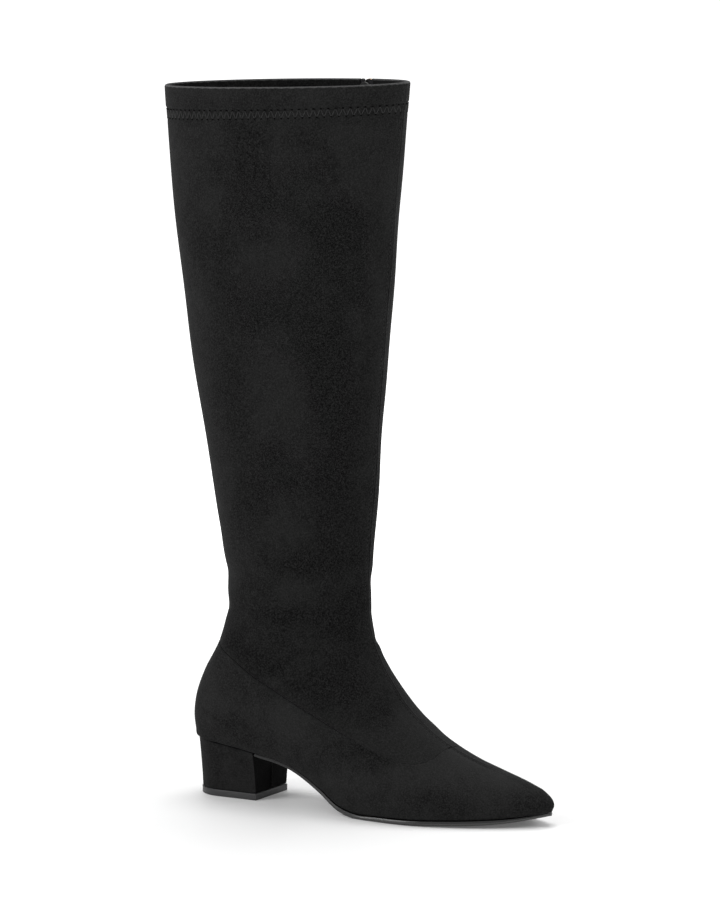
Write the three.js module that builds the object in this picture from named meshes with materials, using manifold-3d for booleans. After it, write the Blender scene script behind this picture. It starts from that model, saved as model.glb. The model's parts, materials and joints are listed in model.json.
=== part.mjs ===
// Knee-high boot for the right foot, block heel, pointed toe, zip on the inner side.
// Millimetres. +X towards the toe, +Y towards the inner side, +Z up.
// The origin is on the floor under the middle of the heel.
import * as THREE from 'three';
import Module from 'manifold-3d';

const wasm = await Module();
wasm.setup();

// ---------------------------------------------------------------- driving dimensions
const GAP = 0.3; // air between two pieces that meet
const WALL = 1.8; // cloth, backing and lining together
const HEM_WALL = 2.6; // the folded hem at the collar
const HEM_DEPTH = 13.5; // fold at the collar, measured down the shaft
const HEM_PROUD = 0.4; // how far the folded hem stands out
const HEM_EASE = 2.0; // length over which the hem steps out
const TOE_X = 223; // tip of the toe
const SEAT_X = -25; // back of the heel seat
const NOSE_LENGTH = 9; // round of the nose, seen from above
const SEAT_RADIUS = 24; // round of the heel seat, seen from above
const FULLNESS = 0.7; // most that a section is rounder than an ellipse at its back
const FULL_ROWS = [9, 13, 15, 19]; // where that starts, is full, is still full and has ended
const SOLE = {
  thickness: 3.2, // at the ball, where the tread is worn flat on the floor
  shank: 2.2,
  toe: 2.0,
  proud: 0.5, // how far the edge stands out
  bevel: 1.1, // how far the tread draws in
  knee: 0.4, // height of the bevel's upper edge, as a part of the thickness
};
const INSOLE_THICKNESS = 2.0;
const INSOLE_INSET = 3.2; // from the feather edge to the edge of the insole
const HEEL = { length: 47, width: 38, radius: 19, flare: 1.4, breastX: 24.5 };
const TOP_PIECE = { height: 4.3, proud: 0.35, bevel: 0.5 };
const ZIP = { slot: 9.0, chain: 8.4, mouth: 12.5, mouthHeight: 15, bottom: 38.5, top: 470, chainTop: 435 };
const COLUMNS = 28; // facets around a section
const COLUMN_HALF = COLUMNS / 2;

// Sections of the last, from the toe up to the collar. Each one is a plane through a
// point on the sole line or the back line (backX, backZ) and a point on the ridge line
// or the shin line (frontX, frontZ). ridge is where the ridge lies across the foot, sole
// out and sole in are the half-widths at the feather edge, max out and max in are the
// half-widths where the section is widest, all measured from the heel's centre plane.
const SECTION_COLUMNS = [
  'backX', 'backZ', 'frontX', 'frontZ', 'ridge', 'soleOut', 'soleIn', 'maxOut', 'maxIn',
];
const SECTIONS = [
  // forefoot
  [223.0, 9.0, 221.5, 20.0, 5.5, -0.5, 11.0, 0.0, 11.5],
  [216.0, 8.0, 213.5, 22.6, 5.1, 4.8, 13.6, 5.5, 14.4],
  [203.0, 6.4, 200.0, 27.0, 4.4, 13.6, 20.6, 14.6, 21.8],
  [186.0, 5.2, 181.5, 32.5, 3.6, 23.4, 28.2, 24.8, 29.8],
  [166.0, 4.3, 160.0, 40.0, 2.7, 31.8, 34.4, 33.6, 36.2],
  // ball
  [144.0, 3.6, 137.5, 52.5, 1.8, 37.6, 36.2, 39.6, 38.3],
  [122.0, 3.4, 119.4, 68.8, 0.9, 38.0, 31.6, 40.0, 35.8],
  [104.0, 3.4, 111.0, 80.5, 0.4, 36.0, 25.0, 38.6, 32.6],
  // waist and instep
  [90.0, 6.4, 106.0, 88.2, 0.0, 32.2, 20.0, 36.2, 31.0],
  [74.0, 15.2, 102.0, 95.2, 0.0, 28.2, 17.2, 34.0, 30.0],
  [50.0, 26.2, 98.6, 102.6, 0.0, 25.4, 17.2, 32.6, 30.0],
  // heel seat
  [24.0, 31.5, 96.1, 110.5, 0.0, 24.6, 22.2, 32.5, 31.5],
  [0.0, 35.5, 94.9, 119.5, 0.0, 25.5, 25.5, 32.5, 32.0],
  [-25.0, 39.5, 94.0, 130.0, 0.0, 25.0, 25.0, 32.5, 32.5],
  // counter and ankle
  [-25.9, 48.0, 94.0, 136.0, 0.0, 0.0, 0.0, 32.2, 32.2],
  [-24.9, 58.0, 94.1, 142.0, 0.0, 0.0, 0.0, 32.0, 32.0],
  [-19.2, 76.0, 94.5, 154.0, 0.0, 0.0, 0.0, 32.0, 32.0],
  [-8.4, 97.0, 95.4, 168.0, 0.0, 0.0, 0.0, 32.0, 32.0],
  [-3.2, 122.0, 96.7, 186.0, 0.0, 0.0, 0.0, 32.6, 32.6],
  // leg
  [-5.9, 150.0, 98.3, 206.0, 0.0, 0.0, 0.0, 34.0, 34.0],
  [-11.9, 185.0, 100.2, 233.0, 0.0, 0.0, 0.0, 36.5, 36.5],
  [-22.2, 240.0, 104.2, 276.0, 0.0, 0.0, 0.0, 40.5, 40.5],
  [-33.2, 310.0, 109.5, 335.0, 0.0, 0.0, 0.0, 43.0, 43.0],
  [-42.8, 380.0, 114.7, 395.0, 0.0, 0.0, 0.0, 42.5, 42.5],
  [-49.1, 447.5, 120.2, 454.5, 0.0, 0.0, 0.0, 42.0, 42.0],
];
const NOSE_ROW = 2; // the nose round has ended by this section
const SEAT_ROW = 13; // back of the heel seat
const SEAT_START_ROW = 9; // the seat round starts after this section

// Seam between foot upper and shaft, seen from the side: x, z from back to front.
const SEAM_POINTS = [
  [-60.0, 101.5], [-10.0, 101.5], [8.0, 95.5], [30.0, 82.0], [59.0, 67.5], [88.0, 55.0],
  [120.0, 42.8], [134.5, 38.2], [143.6, 36.8], [150.0, 38.4], [152.6, 43.0], [152.6, 70.0],
];
// Middle line of the zip, seen from the side: x, z from its lower end to the collar.
const ZIP_POINTS = [
  [56.8, ZIP.bottom], [60.0, 74.0], [64.8, 133.0], [66.8, 200.0],
  [68.2, 308.0], [72.8, 452.0], [73.4, ZIP.top],
];

// ---------------------------------------------------------------- the form of the last
const columnOf = (name) => SECTIONS.map((row) => row[SECTION_COLUMNS.indexOf(name)]);
const TABLE = Object.fromEntries(SECTION_COLUMNS.map((name) => [name, columnOf(name)]));

// Distance along the middle of the sections, from toe to collar.
const STATIONS = SECTIONS.reduce((list, row, i) => {
  if (i === 0) return [0];
  const previous = SECTIONS[i - 1];
  const midX = (row[0] + row[2] - previous[0] - previous[2]) / 2;
  const midZ = (row[1] + row[3] - previous[1] - previous[3]) / 2;
  return [...list, list[i - 1] + Math.hypot(midX, midZ)];
}, []);
const LAST = STATIONS.length - 1;
const COLLAR = STATIONS[LAST];
const SEAT = STATIONS[SEAT_ROW];

// Slopes of a smooth curve through the table, from the slopes on either side of each row.
function slopesOf(values) {
  const steps = values.slice(1).map((v, i) => (v - values[i]) / (STATIONS[i + 1] - STATIONS[i]));
  const inner = steps.slice(1).map((next, i) => {
    const before = STATIONS[i + 1] - STATIONS[i];
    const after = STATIONS[i + 2] - STATIONS[i + 1];
    return (steps[i] * after + next * before) / (before + after);
  });
  const first = 1.5 * steps[0] - 0.5 * inner[0];
  const last = 1.5 * steps[LAST - 1] - 0.5 * inner[inner.length - 1];
  return [first, ...inner, last];
}
const SLOPES = Object.fromEntries(SECTION_COLUMNS.map((name) => [name, slopesOf(TABLE[name])]));
// The feather edge turns a corner at the back of the seat: the sections pause there and
// swing about that point, so that the side of the heel stays smooth.
SLOPES.backX[SEAT_ROW] = 0;
SLOPES.backZ[SEAT_ROW] = 0;

// A column of the table at a station, by a cubic through the two rows around it.
function sectionValue(name, station) {
  const s = Math.min(Math.max(station, 0), COLLAR);
  let i = 0;
  while (i < LAST - 1 && STATIONS[i + 1] <= s) i += 1;
  const h = STATIONS[i + 1] - STATIONS[i];
  const u = (s - STATIONS[i]) / h;
  const values = TABLE[name];
  const slopes = SLOPES[name];
  return (1 + 2 * u) * (1 - u) ** 2 * values[i] + u * (1 - u) ** 2 * h * slopes[i]
    + u * u * (3 - 2 * u) * values[i + 1] + u * u * (u - 1) * h * slopes[i + 1];
}

// A quarter circle that rises from 0 at distance 0 to 1 at the given length.
function roundEnd(distance, length) {
  const x = Math.min(Math.max(distance / length, 0), 1);
  return Math.sqrt(Math.max(1 - (1 - x) ** 2, 0));
}

// Distances from the end of a quarter circle to places at the given angles round it.
function roundSteps(angles, length) {
  return angles.map((angle) => length * (1 - Math.cos(THREE.MathUtils.degToRad(angle))));
}

const between = (low, high, value) => THREE.MathUtils.smoothstep(value, low, high);

// How much rounder than an ellipse a section is at its back: most round the counter.
function fullness(s) {
  const [start, full, still, end] = FULL_ROWS.map((row) => STATIONS[row]);
  return FULLNESS * between(start, full, s) * (1 - between(still, end, s));
}

const noseRound = (s, backX) => (s > STATIONS[NOSE_ROW] ? 1 : roundEnd(TOE_X - backX, NOSE_LENGTH));
function seatRound(s, backX) {
  if (s >= SEAT) return 0;
  return s < STATIONS[SEAT_START_ROW] ? 1 : roundEnd(backX - SEAT_X, SEAT_RADIUS);
}

// A point of the outer surface. turn runs from -1 at the outer feather edge, over the
// ridge at 0, to +1 at the inner feather edge; above the seat both ends meet at the back.
// The section is a part of an ellipse that starts as wide as the sole there; round the
// counter it is fuller at the back.
function lastPoint(s, turn) {
  const at = (name) => sectionValue(name, s);
  const backX = at('backX');
  const backZ = at('backZ');
  const ridge = at('ridge');
  const nose = noseRound(s, backX);
  const side = turn < 0 ? -1 : 1;
  const sole = turn < 0 ? at('soleOut') + ridge : at('soleIn') - ridge;
  const widest = turn < 0 ? at('maxOut') + ridge : at('maxIn') - ridge;
  const ratio = Math.min(Math.max((sole * seatRound(s, backX)) / widest, 0), 1);
  const start = Math.asin(ratio);
  const angle = Math.PI - (Math.PI - start) * Math.abs(turn);
  const part = (Math.cos(start) - Math.cos(angle)) / (1 + Math.cos(start));
  const rise = part * (1 - fullness(s) * (1 - part) ** 2) * nose;
  return new THREE.Vector3(
    backX + (at('frontX') - backX) * rise,
    ridge + side * widest * nose * Math.sin(angle),
    backZ + (at('frontZ') - backZ) * rise,
  );
}

// Outward direction of the surface, from two short steps on it.
function lastNormal(s, turn) {
  if (s <= 0) return new THREE.Vector3(1, 0, 0);
  const stepS = 0.4;
  const stepTurn = 0.01;
  const along = lastPoint(Math.min(s + stepS, COLLAR), turn).sub(lastPoint(Math.max(s - stepS, 0), turn));
  const across = lastPoint(s, Math.min(turn + stepTurn, 1)).sub(lastPoint(s, Math.max(turn - stepTurn, -1)));
  const normal = across.cross(along).normalize();
  if (s >= SEAT && Math.abs(turn) === 1) normal.setY(0).normalize();
  return normal;
}

const offsetPoint = (s, turn, distance) => lastPoint(s, turn).addScaledVector(lastNormal(s, turn), distance);

// ---------------------------------------------------------------- closed meshes
// Points and triangles of a closed body become a solid, with its faces turned outwards.
function solidOf(points, triangles) {
  const volume = triangles.reduce(
    (sum, [a, b, c]) => sum + points[a].dot(points[b].clone().cross(points[c])),
    0,
  );
  const faces = volume < 0 ? triangles.map(([a, b, c]) => [a, c, b]) : triangles;
  const vertProperties = new Float32Array(points.flatMap((p) => [p.x, p.y, p.z]));
  const triVerts = new Uint32Array(faces.flat());
  return new wasm.Manifold(new wasm.Mesh({ numProp: 3, vertProperties, triVerts }));
}

// A three.js geometry as a solid, with its shared corners merged.
function solidOfGeometry(geometry) {
  const index = new Map();
  const points = [];
  const place = geometry.getAttribute('position');
  const names = [];
  for (let i = 0; i < place.count; i += 1) {
    const point = new THREE.Vector3().fromBufferAttribute(place, i);
    const key = point.toArray().map((c) => Math.round(c * 1e4)).join();
    if (!index.has(key)) {
      index.set(key, points.length);
      points.push(point);
    }
    names.push(index.get(key));
  }
  const order = geometry.index ? Array.from(geometry.index.array) : names.map((_, i) => i);
  const triangles = [];
  for (let i = 0; i < order.length; i += 3) {
    const corners = [names[order[i]], names[order[i + 1]], names[order[i + 2]]];
    if (new Set(corners).size === 3) triangles.push(corners);
  }
  return solidOf(points, triangles);
}

function geometryOf(solid) {
  const mesh = solid.getMesh();
  const geometry = new THREE.BufferGeometry();
  geometry.setAttribute('position', new THREE.BufferAttribute(new Float32Array(mesh.vertProperties), 3));
  geometry.setIndex(new THREE.BufferAttribute(new Uint32Array(mesh.triVerts), 1));
  geometry.computeVertexNormals();
  return geometry;
}

// Rings of equal length joined into a closed body, with a flat strip across each end.
// Each ring runs once round the body; its two halves mirror each other, so an end is
// closed by strips between points that face each other.
function loft(rings) {
  const count = rings[0].length;
  const points = rings.flat();
  const triangles = [];
  for (let i = 0; i < rings.length - 1; i += 1) {
    for (let j = 0; j < count; j += 1) {
      const next = (j + 1) % count;
      const [a, b, c, d] = [i * count + j, i * count + next, (i + 1) * count + next, (i + 1) * count + j];
      triangles.push([a, b, c], [a, c, d]);
    }
  }
  const top = (rings.length - 1) * count;
  for (let j = 0; j < count / 2 - 1; j += 1) {
    const [a, b, c, d] = [j, j + 1, count - 2 - j, count - 1 - j];
    triangles.push([a, d, c], [a, c, b], [top + a, top + b, top + c], [top + a, top + c, top + d]);
  }
  return solidOf(points, triangles);
}

// The space between two lines in the side view, carried across the boot from y0 to y1.
function ribbon(low, high, y0, y1) {
  return loft(low.map(([x, z], i) => {
    const [x1, z1] = high[i];
    return [[x, y0, z], [x, y1, z], [x1, y1, z1], [x1, y0, z1]].map((p) => new THREE.Vector3(...p));
  }));
}

// ---------------------------------------------------------------- the wall of the boot
// The station where the bottom line has come back as far as x.
const HALVINGS = 40;
function stationAtBack(x, from, to) {
  let [low, high] = [from, to];
  for (let i = 0; i < HALVINGS; i += 1) {
    const middle = (low + high) / 2;
    if (sectionValue('backX', middle) > x) low = middle;
    else high = middle;
  }
  return (low + high) / 2;
}

// Stations of the wall's rows: close together round the nose and the heel seat.
const NOSE_ANGLES = [12, 28, 46, 66, 90];
const SEAT_ANGLES = [90, 68, 48, 30, 14, 5];
const ROW_STEP = { foot: 8.6, ankle: 8.5, leg: 18 };
const ANKLE_TOP_ROW = 19;
function wallStations() {
  const spread = (from, to, step) => {
    const count = Math.ceil((to - from) / step);
    return Array.from({ length: count }, (_, i) => from + ((to - from) * (i + 1)) / count);
  };
  const nose = roundSteps(NOSE_ANGLES, NOSE_LENGTH)
    .map((distance) => stationAtBack(TOE_X - distance, 0, STATIONS[NOSE_ROW]));
  const seat = roundSteps(SEAT_ANGLES, SEAT_RADIUS)
    .map((distance) => stationAtBack(SEAT_X + distance, STATIONS[SEAT_START_ROW], SEAT));
  const ankleTop = STATIONS[ANKLE_TOP_ROW];
  const hemStart = COLLAR - HEM_DEPTH;
  return [
    0, ...nose,
    ...spread(nose[nose.length - 1], seat[0], ROW_STEP.foot).slice(0, -1),
    ...seat, SEAT,
    ...spread(SEAT, ankleTop, ROW_STEP.ankle),
    ...spread(ankleTop, hemStart - HEM_EASE, ROW_STEP.leg),
    hemStart, COLLAR,
  ];
}

const ROWS = wallStations();
// Places along the bottom line where the wall has a row: sole and heel are cut at the same ones.
const BOTTOM_PLACES = ROWS.filter((s) => s > 0 && s < SEAT).map((s) => sectionValue('backX', s));

// The whole wall, toe to collar, open underneath and at the collar. At the feather edge
// its inner side ends no lower than its outer side.
function bootWall() {
  const stations = ROWS;
  const rows = stations.length;
  const points = [];
  const layer = (distance) => stations.map((s) => {
    const closed = s >= SEAT;
    const offset = distance(s);
    if (s === 0) {
      points.push(offsetPoint(0, 0, offset));
      return Array(COLUMNS + 1).fill(points.length - 1);
    }
    const row = [];
    for (let j = 0; j <= COLUMNS; j += 1) {
      if (closed && j === COLUMNS) {
        row.push(row[0]);
      } else {
        const turn = (j - COLUMN_HALF) / COLUMN_HALF;
        const point = offsetPoint(s, turn, offset);
        if (!closed && Math.abs(turn) === 1) point.setZ(Math.max(point.z, lastPoint(s, turn).z));
        points.push(point);
        row.push(points.length - 1);
      }
    }
    return row;
  });
  const inHem = (s) => s > COLLAR - HEM_DEPTH - HEM_EASE / 2;
  const outer = layer((s) => (inHem(s) ? HEM_PROUD : 0));
  const inner = layer((s) => (inHem(s) ? HEM_PROUD - HEM_WALL : -WALL));
  const triangles = [];
  const quad = (a, b, c, d) => {
    [[a, b, c], [a, c, d]].forEach((t) => {
      if (new Set(t).size === 3) triangles.push(t);
    });
  };
  for (let i = 0; i < rows - 1; i += 1) {
    for (let j = 0; j < COLUMNS; j += 1) {
      quad(outer[i][j], outer[i + 1][j], outer[i + 1][j + 1], outer[i][j + 1]);
      quad(inner[i][j], inner[i][j + 1], inner[i + 1][j + 1], inner[i + 1][j]);
    }
    if (stations[i] < SEAT) {
      quad(outer[i][0], inner[i][0], inner[i + 1][0], outer[i + 1][0]);
      quad(outer[i][COLUMNS], outer[i + 1][COLUMNS], inner[i + 1][COLUMNS], inner[i][COLUMNS]);
    }
  }
  for (let j = 0; j < COLUMNS; j += 1) {
    quad(outer[rows - 1][j], inner[rows - 1][j], inner[rows - 1][j + 1], outer[rows - 1][j + 1]);
  }
  return solidOf(points, triangles);
}

const lineOf = (rows) => new THREE.SplineCurve(rows.map(([x, z]) => new THREE.Vector2(x, z)));
const zipLine = (steps) => lineOf(ZIP_POINTS).getPoints(steps);

// A line in the side view as a smooth polyline, shifted sideways by the given distance.
function shiftedLine(rows, steps, shift) {
  const curve = lineOf(rows);
  return Array.from({ length: steps + 1 }, (_, i) => {
    const point = curve.getPoint(i / steps);
    const along = curve.getTangent(i / steps);
    return [point.x - along.y * shift, point.y + along.x * shift];
  });
}

// Everything that belongs to the shaft, seen from the side, down to the shifted seam.
const SIDE = { back: -90, front: 190, top: 480, reach: 90 };
const SEAM_STEPS = 66;
function shaftZone(shift) {
  const seam = shiftedLine(SEAM_POINTS, SEAM_STEPS, shift);
  const roof = seam.map((_, i) => [SIDE.back + ((SIDE.front - SIDE.back) * i) / SEAM_STEPS, SIDE.top]);
  return ribbon(seam, roof, -SIDE.reach, SIDE.reach);
}

// The part of a rising line that lies between two heights, cut exactly at both.
function clipLine(line, lowZ, highZ) {
  const cutAt = (z) => {
    const i = Math.min(Math.max(line.findIndex((p) => p.y >= z), 1), line.length - 1);
    return line[i - 1].clone().lerp(line[i], (z - line[i - 1].y) / (line[i].y - line[i - 1].y));
  };
  return [cutAt(lowZ), ...line.filter((p) => p.y > lowZ && p.y < highZ), cutAt(highZ)];
}

// A band along the zip on the inner side between two heights, widening to a small V at
// the collar.
const ZIP_STEPS = 40;
const MIDDLE = 4; // a cut on the inner side starts this far past the middle plane
function zipBand(width, mouthWidth, lowZ, highZ) {
  const mouthStart = SECTIONS[LAST][3] - ZIP.mouthHeight;
  const halfWidth = (z) => {
    const up = Math.min(Math.max((z - mouthStart) / ZIP.mouthHeight, 0), 1);
    return (width + (mouthWidth - width) * up) / 2;
  };
  const middle = clipLine(zipLine(ZIP_STEPS), lowZ, highZ);
  const front = middle.map((p) => [p.x + halfWidth(p.y), p.y]);
  const back = middle.map((p) => [p.x - halfWidth(p.y), p.y]);
  return ribbon(front, back, MIDDLE, SIDE.reach);
}

// ---------------------------------------------------------------- sole, insole and heel
// The bottom line of the last at a place along the foot, as used by sole and insole.
function soleAt(x) {
  const s = stationAtBack(x, 0, SEAT);
  const nose = noseRound(s, x);
  const seat = seatRound(s, x);
  const ridge = sectionValue('ridge', s);
  return {
    z: sectionValue('backZ', s),
    out: -ridge + (sectionValue('soleOut', s) + ridge) * nose * seat,
    in: ridge + (sectionValue('soleIn', s) - ridge) * nose * seat,
  };
}

const SHANK = { back: 40, front: 100 }; // the sole thickens towards the ball between these
const TIP = { back: 180 }; // and thins towards the toe from here
function soleThickness(x) {
  const ball = THREE.MathUtils.smoothstep(x, SHANK.back, SHANK.front);
  const toe = THREE.MathUtils.smoothstep(x, TIP.back, TOE_X);
  return SOLE.shank + (SOLE.thickness - SOLE.shank) * ball - (SOLE.thickness - SOLE.toe) * toe;
}

function outsole() {
  const end = HEEL.breastX + 2 * GAP;
  const places = [...BOTTOM_PLACES.filter((x) => x > end), end];
  const rings = places.map((x) => {
    const edge = soleAt(x);
    const top = edge.z - GAP;
    const bottom = Math.max(top - soleThickness(x), 0);
    const [out, inner] = [edge.out + SOLE.proud, edge.in + SOLE.proud];
    const knee = bottom + (top - bottom) * SOLE.knee;
    const bevel = Math.min(SOLE.bevel, (out + inner) / 6);
    const half = [[-out, top], [-out, knee], [-out + bevel, bottom]];
    const other = [[inner - bevel, bottom], [inner, knee], [inner, top]];
    return [...half, ...other].map(([y, z]) => new THREE.Vector3(x, y, z));
  });
  return loft(rings);
}

const INSOLE_MIDDLE = 90; // where its front and back halves meet
const INSOLE_NARROWEST = 0.6; // half-width at its pointed ends
const INSOLE_ANGLES = [22, 40, 58, 76, 90];
function insole() {
  const front = TOE_X - INSOLE_INSET - 1;
  const back = SEAT_X + INSOLE_INSET;
  const seatLength = SEAT_RADIUS - INSOLE_INSET;
  const toeEnd = roundSteps(INSOLE_ANGLES, NOSE_LENGTH).map((distance) => front - distance);
  const heelEnd = roundSteps(INSOLE_ANGLES, seatLength).map((distance) => back + distance).reverse();
  const between = BOTTOM_PLACES.filter((x) => x < front - NOSE_LENGTH && x > back + seatLength);
  const rings = [...toeEnd, ...between, ...heelEnd].map((x) => {
    const edge = soleAt(x);
    const full = soleAt(Math.min(Math.max(x, SEAT_X + SEAT_RADIUS), TOE_X - NOSE_LENGTH));
    const open = x > INSOLE_MIDDLE ? roundEnd(front - x, NOSE_LENGTH) : roundEnd(x - back, seatLength);
    const half = ((full.in + full.out) / 2 - INSOLE_INSET) * open;
    const limit = (edge.in + edge.out) / 2 - INSOLE_INSET;
    const reach = Math.max(Math.min(half, limit), INSOLE_NARROWEST);
    const middle = (edge.in - edge.out) / 2;
    const [low, high] = [edge.z, edge.z + INSOLE_THICKNESS];
    const corners = [[-reach, high], [-reach, low], [reach, low], [reach, high]];
    return corners.map(([y, z]) => new THREE.Vector3(x, middle + y, z));
  });
  return loft(rings);
}

// Outline of the heel seen from above: from the outer front corner round the back to the
// inner front corner. out and inner give its half-widths at a place along it.
const ROUND_START = SEAT_X + SEAT_RADIUS;
// Places along the straight sides, as parts of the way from the round back to the breast.
const HEEL_SIDE = [1, ...BOTTOM_PLACES.filter((x) => x > ROUND_START + GAP && x < HEEL.breastX - GAP)
  .map((x) => (x - ROUND_START) / (HEEL.breastX - ROUND_START))];
function heelOutline(back, front, radius, out, inner) {
  const straight = HEEL_SIDE.map((part) => back + radius + (front - back - radius) * part);
  const places = [...straight, ...roundSteps(SEAT_ANGLES, radius).map((distance) => back + distance)];
  const wide = (x) => roundEnd(x - back, radius);
  const outSide = places.map((x) => [x, -out(x) * wide(x)]);
  const inSide = [...places].reverse().map((x) => [x, inner(x) * wide(x)]);
  return [...outSide, ...inSide];
}

function heelBottomOutline(proud) {
  const half = HEEL.width / 2 + proud;
  const front = HEEL.length / 2 + proud;
  return heelOutline(-front, front, HEEL.radius + proud, () => half, () => half);
}

const HEEL_LEVELS = [0, 0.25, 0.5, 0.75, 1]; // from the top piece up to the seat
function heelBlock() {
  const low = heelBottomOutline(0);
  const widthAt = (key) => (x) => soleAt(Math.min(Math.max(x, SEAT_X + SEAT_RADIUS), HEEL.breastX))[key];
  const high = heelOutline(SEAT_X, HEEL.breastX, SEAT_RADIUS, widthAt('out'), widthAt('in'));
  const bottom = TOP_PIECE.height + GAP;
  const rings = HEEL_LEVELS.map((rise) => low.map(([x0, y0], i) => {
    const [x1, y1] = high[i];
    const spread = rise ** HEEL.flare;
    const top = soleAt(x1).z - GAP;
    return new THREE.Vector3(x0 + (x1 - x0) * rise, y0 + (y1 - y0) * spread, bottom + (top - bottom) * rise);
  }));
  return loft(rings);
}

function heelTopPiece() {
  const rim = heelBottomOutline(TOP_PIECE.proud);
  const foot = heelBottomOutline(TOP_PIECE.proud - TOP_PIECE.bevel);
  const ring = (outline, z) => outline.map(([x, y]) => new THREE.Vector3(x, y, z));
  return loft([ring(foot, 0), ring(rim, TOP_PIECE.bevel), ring(rim, TOP_PIECE.height)]);
}

// ---------------------------------------------------------------- zip slider and pull
// Both are drawn about a point on the wall: x across the zip, y away from the leg, z up
// along the zip. The front plate lies on the hem, the back plate behind it, and a wedge
// between the two halves of the chain joins them.
const SLIDER = {
  height: 444.5, // of its middle above the floor
  plate: { width: 13.6, length: 15, thickness: 1.3 },
  back: { width: 10.5, length: 12, thickness: 1.0 },
  wedge: { width: 3.2, low: -3, high: 5 },
  play: 0.5, // between the plates and the hem
};
const BRIDGE = { width: 2.6, hole: 2.2, leg: 1.6, roof: 1.3, slope: 1.2, rise: 1.2 };
const BITE = 0.1; // how far joined pieces of the slider run into each other
const PULL = {
  width: 6.9,
  length: 32,
  thickness: 1.3,
  corner: 0.9,
  bar: 1.8, // between the window and the upper end
  window: 3.7,
  windowLength: 8.2,
  clearance: 1.45, // from the slider's face and the bridge's roof to the middle of the tab
};
const PLATE_BACK = HEM_PROUD + SLIDER.play;
const PLATE_FRONT = PLATE_BACK + SLIDER.plate.thickness;
const BACK_FRONT = HEM_PROUD - HEM_WALL - SLIDER.play;
const HINGE = { y: PLATE_FRONT + PULL.clearance, z: BRIDGE.rise };

// A flat outline across the zip, given in x and z, with its thickness from y0 to y1.
function frontCut(outline, y0, y1, hole) {
  const shape = new THREE.Shape(outline.map(([x, z]) => new THREE.Vector2(x, z)));
  if (hole) shape.holes.push(new THREE.Path(hole.map(([x, z]) => new THREE.Vector2(x, z))));
  const geometry = new THREE.ExtrudeGeometry(shape, { depth: y1 - y0, bevelEnabled: false });
  geometry.rotateX(Math.PI / 2);
  geometry.translate(0, y1, 0);
  return solidOfGeometry(geometry);
}

const box = (x0, x1, z0, z1) => [[x0, z0], [x1, z0], [x1, z1], [x0, z1]];

// A shield outline: broad shoulders and sides drawn in to a rounded lower end.
function shield({ width, length }) {
  const right = [
    [0.22, -0.5], [0.52, -0.43], [0.76, -0.24], [0.95, 0.02], [1.0, 0.26], [0.86, 0.43], [0.48, 0.5],
  ].map(([x, z]) => [(x * width) / 2, z * length]);
  const left = right.map(([x, z]) => [-x, z]).reverse();
  return [...right, ...left];
}

function zipSlider() {
  const front = frontCut(shield(SLIDER.plate), PLATE_BACK, PLATE_FRONT);
  const back = frontCut(shield(SLIDER.back), BACK_FRONT - SLIDER.back.thickness, BACK_FRONT);
  const half = SLIDER.wedge.width / 2;
  const { low, high } = SLIDER.wedge;
  const wedge = frontCut(box(-half, half, low, high), BACK_FRONT - BITE, PLATE_BACK + BITE);
  const { slope } = BRIDGE;
  const reach = BRIDGE.hole + BRIDGE.leg;
  const roofLow = HINGE.y + PULL.clearance;
  const roofHigh = roofLow + BRIDGE.roof;
  const archShape = new THREE.Shape([
    [PLATE_FRONT - BITE, -reach], [roofHigh - slope, -reach], [roofHigh, -reach + slope],
    [roofHigh, reach - slope], [roofHigh - slope, reach], [PLATE_FRONT - BITE, reach],
  ].map(([y, z]) => new THREE.Vector2(y, z + HINGE.z)));
  archShape.holes.push(new THREE.Path([
    [PLATE_FRONT, -BRIDGE.hole], [roofLow, -BRIDGE.hole], [roofLow, BRIDGE.hole], [PLATE_FRONT, BRIDGE.hole],
  ].map(([y, z]) => new THREE.Vector2(y, z + HINGE.z))));
  const arch = new THREE.ExtrudeGeometry(archShape, { depth: BRIDGE.width, bevelEnabled: false });
  arch.translate(0, 0, -BRIDGE.width / 2);
  // the outline's first axis becomes y and its second becomes z
  arch.applyMatrix4(new THREE.Matrix4().makeBasis(
    new THREE.Vector3(0, 1, 0), new THREE.Vector3(0, 0, 1), new THREE.Vector3(1, 0, 0),
  ));
  return front.add(back).add(wedge).add(solidOfGeometry(arch));
}

// The tab hangs from its upper bar, which lies under the bridge; the bridge's lower leg
// stands in the tab's window.
function zipPull() {
  const half = PULL.width / 2;
  const top = PULL.bar / 2;
  const low = top - PULL.length;
  const c = PULL.corner;
  const outline = [
    [-half + c, low], [half - c, low], [half, low + c], [half, top - c], [half - c, top],
    [-half + c, top], [-half, top - c], [-half, low + c],
  ];
  const window = box(-PULL.window / 2, PULL.window / 2, -top - PULL.windowLength, -top);
  return frontCut(outline, -PULL.thickness / 2, PULL.thickness / 2, window);
}

// The point of the outer wall with the given x and z on the inner side.
function innerSidePoint(x, z) {
  let [s, turn] = [COLLAR - 8, 0.36];
  const step = 0.001;
  for (let i = 0; i < 20; i += 1) {
    const here = lastPoint(s, turn);
    const alongS = lastPoint(s + 1, turn).sub(here);
    const alongTurn = lastPoint(s, turn + step).sub(here).divideScalar(step);
    const det = alongS.x * alongTurn.z - alongTurn.x * alongS.z;
    const [dx, dz] = [x - here.x, z - here.z];
    s += (dx * alongTurn.z - alongTurn.x * dz) / det;
    turn += (alongS.x * dz - dx * alongS.z) / det;
  }
  return { point: lastPoint(s, turn), normal: lastNormal(s, turn) };
}

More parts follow.
